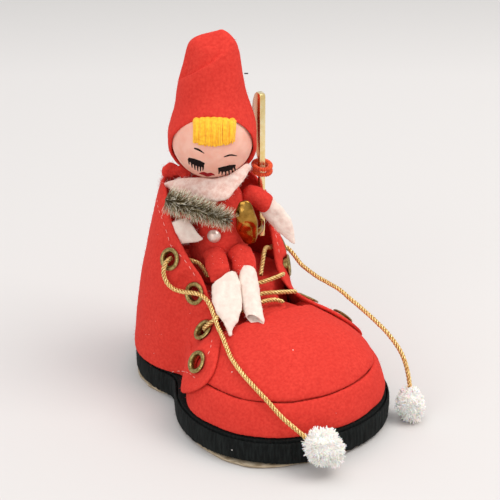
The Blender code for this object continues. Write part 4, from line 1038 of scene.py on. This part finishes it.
def make_collar():
    """Wide felt collar: it stands up to the chin and falls to a point on the chest."""
    rings = []
    for top, low in COLLAR_EDGES:
        top, low = from_head(top), from_head(low)
        bulge = (top.lerp(low, 0.5) - CHEST - mm(0, 0, 86)).normalized() * 0.9 * MM
        steps = (0.0, 0.2, 0.4, 0.6, 0.8, 1.0)
        rings.append([top.lerp(low, t) + bulge * math.sin(math.pi * t) for t in steps])
    bm = bmesh.new()
    rows = [[bm.verts.new(p) for p in ring] for ring in rings]
    for row, after in zip(rows, rows[1:] + rows[:1]):
        for k in range(5):
            bm.faces.new((row[k], row[k + 1], after[k + 1], after[k]))
    collar = finish_bmesh(bm, "collar", PINK_FELT, 180)
    if collar.data.polygons[20].normal.dot(VIEW_BACK) < 0:
        collar.data.flip_normals()
    thicken(collar, 1.3)
    uneven(collar, (5.0, 0.6, 96), (1.6, 0.14, 97))
    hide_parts("collar")
    edge = fuzz(collar, "collar_fuzz", WHITE_FIBRE, 1100, 1.3, 98, lie=0.6)


def make_clothes():
    """Torso, legs and sleeves of red felt."""
    shift = VIEW_RIGHT * -1.4 * MM
    legs = {
        "leg_right": ([(-8.2, 14.2, 59.6), (-9.6, 9.8, 59.2), (-11.2, 5.6, 57.2), (-12.8, 2.2, 53.4)], 4.6),
        "leg_left": ([(1.8, 10.2, 60.0), (0.8, 5.8, 59.6), (-0.6, 2.2, 57.8), (-2.0, -1.4, 54.4)], 5.1),
    }
    for seed, (name, (stops, wide)) in enumerate(legs.items()):
        rings = flat_tube([mm(*p) + shift for p in stops],
                          [(wide, 4.9), (wide, 4.9), (wide, 4.4), (wide * 0.97, 3.4), (wide * 0.8, 1.9)],
                          VIEW_RIGHT, 14, 20)
        leg = rounded_tube(rings, name, RED_FELT)
        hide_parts(name)
        dress_padded(leg, name, 92 + seed)
    for name, voxel, seed in (("torso", 0.7, 91), ("sleeve_right", 0.4, 94), ("sleeve_left", 0.4, 95)):
        dress_padded(soften(name, RED_FELT, voxel, ease=5), name, seed)


def dress_padded(piece, name, seed):
    uneven(piece, (5.0, 0.7, seed), (1.5, 0.12, seed + 9))
    fuzz(piece, name + "_fuzz", RED_FIBRE, 420, 1.0, seed + 20, lie=0.6)


def felt_glove(name, stops, sections, seed, slants, open_end=False):
    """A flattened felt tube, closed or open at its far end, with ragged cut edges."""
    rings = flat_tube([mm(*p) for p in stops], sections, VIEW_RIGHT, len(sections) * 2 - 1, 20, slants)
    bm = skin_rings(rings, capped=False)
    if not open_end:
        last = sorted(bm.edges, key=lambda e: sum((v.co - Vector(rings[-1][0])).length for v in e.verts))
        rim = [e for e in last if e.is_boundary][:len(rings[-1])]
        bmesh.ops.holes_fill(bm, edges=rim, sides=0)
    piece = finish_bmesh(bm, name, WHITE_FELT, 180)
    thicken(piece, 0.6)
    uneven(piece, (4.0, 0.6, seed), (1.3, 0.16, seed + 1))
    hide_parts(name)
    fuzz(piece, name + "_fuzz", WHITE_FIBRE, 420, 1.2, seed + 2, lie=0.6)


def make_hands_and_feet():
    """Mitten hands and sock feet of white felt."""
    level = [(0.0, 0.0)]
    felt_glove("foot_right",
               [(-12.6, 1.9, 55.3), (-13.2, 0.2, 54.2), (-15.8, -5.0, 50.6), (-18.2, -10.2, 46.8),
                (-20.9, -15.0, 41.8), (-21.9, -16.6, 40.0)],
               [(5.6, 3.6), (6.0, 3.1), (6.3, 2.5), (6.1, 2.0), (5.2, 1.6), (3.6, 1.3), (1.7, 0.9),
                (0.4, 0.5)],
               101, [(-2.2, 0.0), (-1.2, 0.0), (-0.4, 0.0)] + level * 5)
    felt_glove("foot_left",
               [(-2.0, 0.9, 57.0), (-3.8, -2.7, 54.4), (-6.0, -7.1, 50.9), (-8.3, -12.4, 47.3),
                (-10.3, -17.3, 43.6)],
               [(3.5, 3.4), (3.8, 3.1), (3.9, 2.8), (4.1, 2.4), (4.1, 2.3), (4.0, 2.2), (3.8, 2.0),
                (3.3, 1.6)],
               105, [(0.6, -0.6), (0.2, 0.0), (0.0, 0.0)] + level * 3 + [(1.0, -0.5), (1.9, -1.5)],
               open_end=True)
    felt_glove("hand_left", [(15.4, 13.4, 77.4), (18.2, 10.8, 73.2), (21.2, 7.8, 67.8), (23.8, 4.0, 60.9)],
               [(4.0, 2.5), (4.3, 2.1), (4.3, 1.7), (3.7, 1.4), (2.3, 1.0), (0.4, 0.5)],
               109, [(-0.8, 0.0)] + level * 5)
    felt_glove("hand_right", [(-20.9, 22.6, 76.2), (-19.9, 19.8, 70.9), (-18.9, 17.5, 67.0)],
               [(3.4, 2.3), (3.9, 1.8), (4.7, 1.3), (5.9, 0.9)],
               113, level * 2 + [(0.9, 0.0), (2.0, 0.0)])


def make_button():
    """Half-round pearl button on the chest."""
    turn = math.radians(-40.3)
    out = Vector((math.sin(turn), -math.cos(turn), 0))
    seat = CHEST + mm(0, 0, 69.2) + out * 12.9 * MM
    bm = bmesh.new()
    profile = [(0, 2.9), (0.9, 2.75), (1.7, 2.35), (2.35, 1.75), (2.75, 1.0), (2.85, 0.5), (2.6, 0.1),
               (0, 0.05)]
    points = [bm.verts.new((r * MM, 0, z * MM)) for r, z in profile]
    edges = [bm.edges.new((a, b)) for a, b in zip(points, points[1:])]
    turn_round(bm, points + edges)
    bmesh.ops.remove_doubles(bm, verts=bm.verts, dist=1e-6)
    bmesh.ops.transform(bm, matrix=aim(seat, out), verts=bm.verts)
    button = finish_bmesh(bm, "pearl_button", PEARL, 60)
    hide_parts("pearl_button")


def make_tree():
    """Bottle-brush tree: a twisted wire and rings of bristles, some with frosted tips."""
    start, end = mm(-27.6, 22.0, 87.0), mm(-7.0, 4.8, 78.6)
    along = (end - start).normalized()
    length = 27.0
    wide, narrow = 7.6, 5.6
    side = along.orthogonal().normalized()
    other = along.cross(side)
    rng = random.Random(121)
    groups = {"bottle_brush_tree": [], "tree_frost": []}
    count = 1900
    for n in range(count):
        t = n / count
        radius = wide + (narrow - wide) * t
        a = n * GOLDEN_ANGLE + rng.uniform(-0.3, 0.3)
        out = side * math.cos(a) + other * math.sin(a)
        out = (out + along * rng.uniform(0.05, 0.75) + Vector((0, 0, rng.uniform(-0.15, 0.2)))).normalized()
        frosted = rng.random() < 0.45
        size = radius / wide * rng.uniform(0.7, 1.08)
        spot = aim(start + along * length * t * MM, out, rng.random() * math.tau, size)
        groups["tree_frost" if frosted else "bottle_brush_tree"].append(spot)
    plain = hair_shape(0.14 * MM, 7.2 * MM, 1.0 * MM, rings=4)
    main = repeat_shape("bottle_brush_tree", plain, groups["bottle_brush_tree"], BRISTLE)
    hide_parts("bottle_brush_tree")
    frosty = hair_shape(0.17 * MM, 7.4 * MM, 1.0 * MM, rings=4)
    repeat_shape("tree_frost", frosty, groups["tree_frost"], BRISTLE_TIP)
    wire = flat_tube([start + along * 0.5 * MM, start + along * 13 * MM, end + along * 0.5 * MM],
                     [(0.4, 0.4), (0.4, 0.4)], side, 24, 8)
    finish_bmesh(skin_rings(wire), "tree_wire", IRON, 60)


HARP_FOOT = mm(18.2, 19.6, 0)


def make_harp():
    """Gilt toy harp: a flat pillar and neck, a rounded sound box and the foot that joins them."""
    back = facing(-0.96, -0.28, 0).normalized()
    thin = Vector((-back.y, back.x, 0))
    half = thin * 1.2 * MM
    outline = [(0, 60), (0, 90), (0, 121.8), (0.35, 122.65), (1.2, 123), (5, 122.6), (8, 120.8),
               (10.6, 117.4), (11.9, 112.6), (12.1, 107.6), (11.0, 102.4), (8.6, 98.8), (6, 96.2),
               (3.6, 93.2), (3.0, 89), (2.8, 85), (2.6, 72), (2.6, 60)]
    bm = bmesh.new()
    corners = [bm.verts.new(HARP_FOOT + back * s * MM + Vector((0, 0, z * MM)) - half) for s, z in outline]
    face = bm.faces.new(corners)
    moved = bmesh.ops.extrude_face_region(bm, geom=[face])["geom"]
    bmesh.ops.translate(bm, verts=[g for g in moved if isinstance(g, bmesh.types.BMVert)], vec=half * 2)
    rims = [e for e in bm.edges if len({f.normal.to_tuple(3) for f in e.link_faces}) > 1
            and abs((e.verts[0].co - e.verts[1].co).normalized().dot(thin)) < 0.5]
    bmesh.ops.recalc_face_normals(bm, faces=bm.faces)
    bmesh.ops.bevel(bm, geom=rims, offset=0.3 * MM, offset_type="OFFSET", affect="EDGES", segments=2,
                    profile=0.5, material=-1)
    plate = finish_bmesh(bm, "toy_harp", PALE_GILT, 35)
    # Painted reflection: faces turned towards the picture's left, where the hat is, take the orange gilt of
    # the mirrored hat.
    plate.data.materials.append(HAT_REFLECTION_GILT)
    for face in plate.data.polygons:
        if face.normal.dot(VIEW_RIGHT) < -0.8:
            face.material_index = 1
    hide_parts("toy_harp")
    wide = 4.5
    rings = flat_tube([mm(1.0, 8.2, 84.6), mm(1.8, 7.8, 76.2), mm(4.8, 8.7, 64.4)],
                      [(1.8, 0.9), (wide * 0.92, 1.9), (wide, 2.3), (wide * 0.95, 2.3), (wide * 0.55, 1.4)],
                      VIEW_RIGHT, 12, 20)
    box = rounded_tube(rings, "harp_sound_box", GILT)
    uneven(box, (6.0, 0.9, 131))
    link = flat_tube([mm(5.6, 9.2, 67.4), mm(12.6, 13.0, 66.6), mm(18.4, 20.2, 66.0)],
                     [(1.6, 1.1), (1.6, 1.1)], Vector((0, 0, 1)), 14, 12)
    finish_bmesh(skin_rings(link), "harp_foot", GILT, 60)


def make_tie():
    """Two turns of orange chenille round the harp's neck, pressed into ribs."""
    back = facing(-0.985, -0.17, 0).normalized()
    side = Vector((-back.y, back.x, 0))
    middle = HARP_FOOT + back * 1.4 * MM + Vector((0, 0, 90.5 * MM))
    shape = bmesh.new()
    bmesh.ops.create_uvsphere(shape, u_segments=8, v_segments=6, radius=1.0)
    bmesh.ops.scale(shape, verts=shape.verts, vec=(0.5 * MM, 1.1 * MM, 1.05 * MM))
    ribs = 26
    narrow, wide = 3.4, 5.4
    spots = []
    for row in (-1, 1):
        for k in range(ribs):
            a = math.tau * (k + 0.25 * row) / ribs
            spot = middle + side * math.cos(a) * narrow * MM + back * math.sin(a) * wide * MM
            spot += Vector((0, 0, row * 1.1 * MM))
            out = (side * math.cos(a) / narrow + back * math.sin(a) / wide).normalized()
            tangent = Vector((0, 0, 1)).cross(out)
            turn = Matrix((tangent, out, Vector((0, 0, 1)))).transposed().to_4x4()
            spots.append(Matrix.Translation(spot) @ turn @ Matrix.Rotation(0.25 * row, 4, "Y"))
    tie = repeat_shape("harp_tie", shape, spots, CHENILLE)
    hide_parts("harp_tie")


def make_lint():
    """Specks of white lint caught on the felt."""
    shape = bmesh.new()
    bmesh.ops.create_icosphere(shape, subdivisions=1, radius=0.28 * MM)
    spots = []
    targets = {"toe_top": [(293, 350), (232, 372)], "sole_band": [(232, 450)]}
    for name, pixels in targets.items():
        tree = surface_of(LOOKS[name])
        for px, py in pixels:
            hit = seen(tree, px, py)
            if hit is not None:
                spots.append(aim(hit, VIEW_BACK, 0, 0.9))
    for name, count in (("torso", 60), ("leg_right", 22), ("leg_left", 18), ("quarter_right", 60),
                        ("quarter_left", 60), ("shaft_stuffing", 40), ("hat", 10), ("toe_side", 14)):
        for point, normal in scattered(LOOKS[name], count, 141):
            spots.append(aim(point, normal, 0, 0.22 + 0.35 * abs(noise.noise(point * 9000))))
    repeat_shape("lint", shape, spots, WHITE_FIBRE)


SEATS = eyelet_seats()
make_sole()
make_upper(SEATS)
make_eyelets(SEATS)
make_stuffing()
make_rim_lobes()
make_head()
make_hair()
make_hat()
make_clothes()
make_collar()
make_hands_and_feet()
make_button()
make_tree()
make_harp()
make_tie()
make_lint()


# Hidden solids and stage


def dress_hidden_solids():
    """Materials of the CAD solids that stay and are hidden inside."""
    for name, finish in (("sole_core", BLACK_FELT), ("toe_stuffing", RED_FELT)):
        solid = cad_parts[name]
        solid.data.materials.clear()
        solid.data.materials.append(finish)


def make_stage():
    """Pale floor, with painted shade: it darkens far behind the elf, where the light falls off; and soft
    studio light.
    """
    bm = bmesh.new()
    bmesh.ops.create_grid(bm, x_segments=1, y_segments=1, size=4.0)
    mesh = bpy.data.meshes.new("floor")
    bm.to_mesh(mesh)
    bm.free()
    floor = bpy.data.objects.new("floor", mesh)
    bpy.context.collection.objects.link(floor)
    made, tree, shader = new_material("pale_paper_sweep", "F1EFEC", 0.9, specular_ior_level=0.1)
    where = add_node(tree, "ShaderNodeTexCoord").outputs["Object"]
    # Painted shade: the floor goes darker with distance behind the elf, standing for the light falling off
    # towards the back.
    behind = add_node(tree, "ShaderNodeVectorMath", {"operation": "DOT_PRODUCT"},
                      {0: where, 1: facing(-1, 0, 0)}).outputs["Value"]
    tree.links.new(blend(tree, behind, (0.40, 0.62), "D3CFCC", "C3C0BD"), shader.inputs["Base Color"])
    mesh.materials.append(made)
    world = bpy.data.worlds.new("studio")
    world.use_nodes = True
    sky = world.node_tree.nodes["Background"]
    sky.inputs["Color"].default_value = (0.95, 0.97, 1.0, 1.0)
    sky.inputs["Strength"].default_value = 0.78
    bpy.context.scene.world = world
    lamps = (("key", facing(0.15, 0.85, 1.25), 0.9, 12.0, (1.0, 0.98, 0.95)),
             ("fill", facing(1.1, -0.7, 0.55), 1.0, 5.5, (1.0, 0.99, 0.98)),
             ("top", facing(-0.2, -0.1, 1.3), 1.0, 4.4, (1.0, 1.0, 1.0)))
    for name, spot, size, power, colour in lamps:
        data = bpy.data.lights.new(name, "AREA")
        data.size = size
        data.energy = power
        data.color = colour
        lamp = bpy.data.objects.new(name, data)
        aimed_at = mm(0, 0, 60)
        lamp.matrix_world = aim(spot + aimed_at, spot)
        bpy.context.collection.objects.link(lamp)
    bpy.context.scene.view_settings.view_transform = "Standard"


dress_hidden_solids()
make_stage()
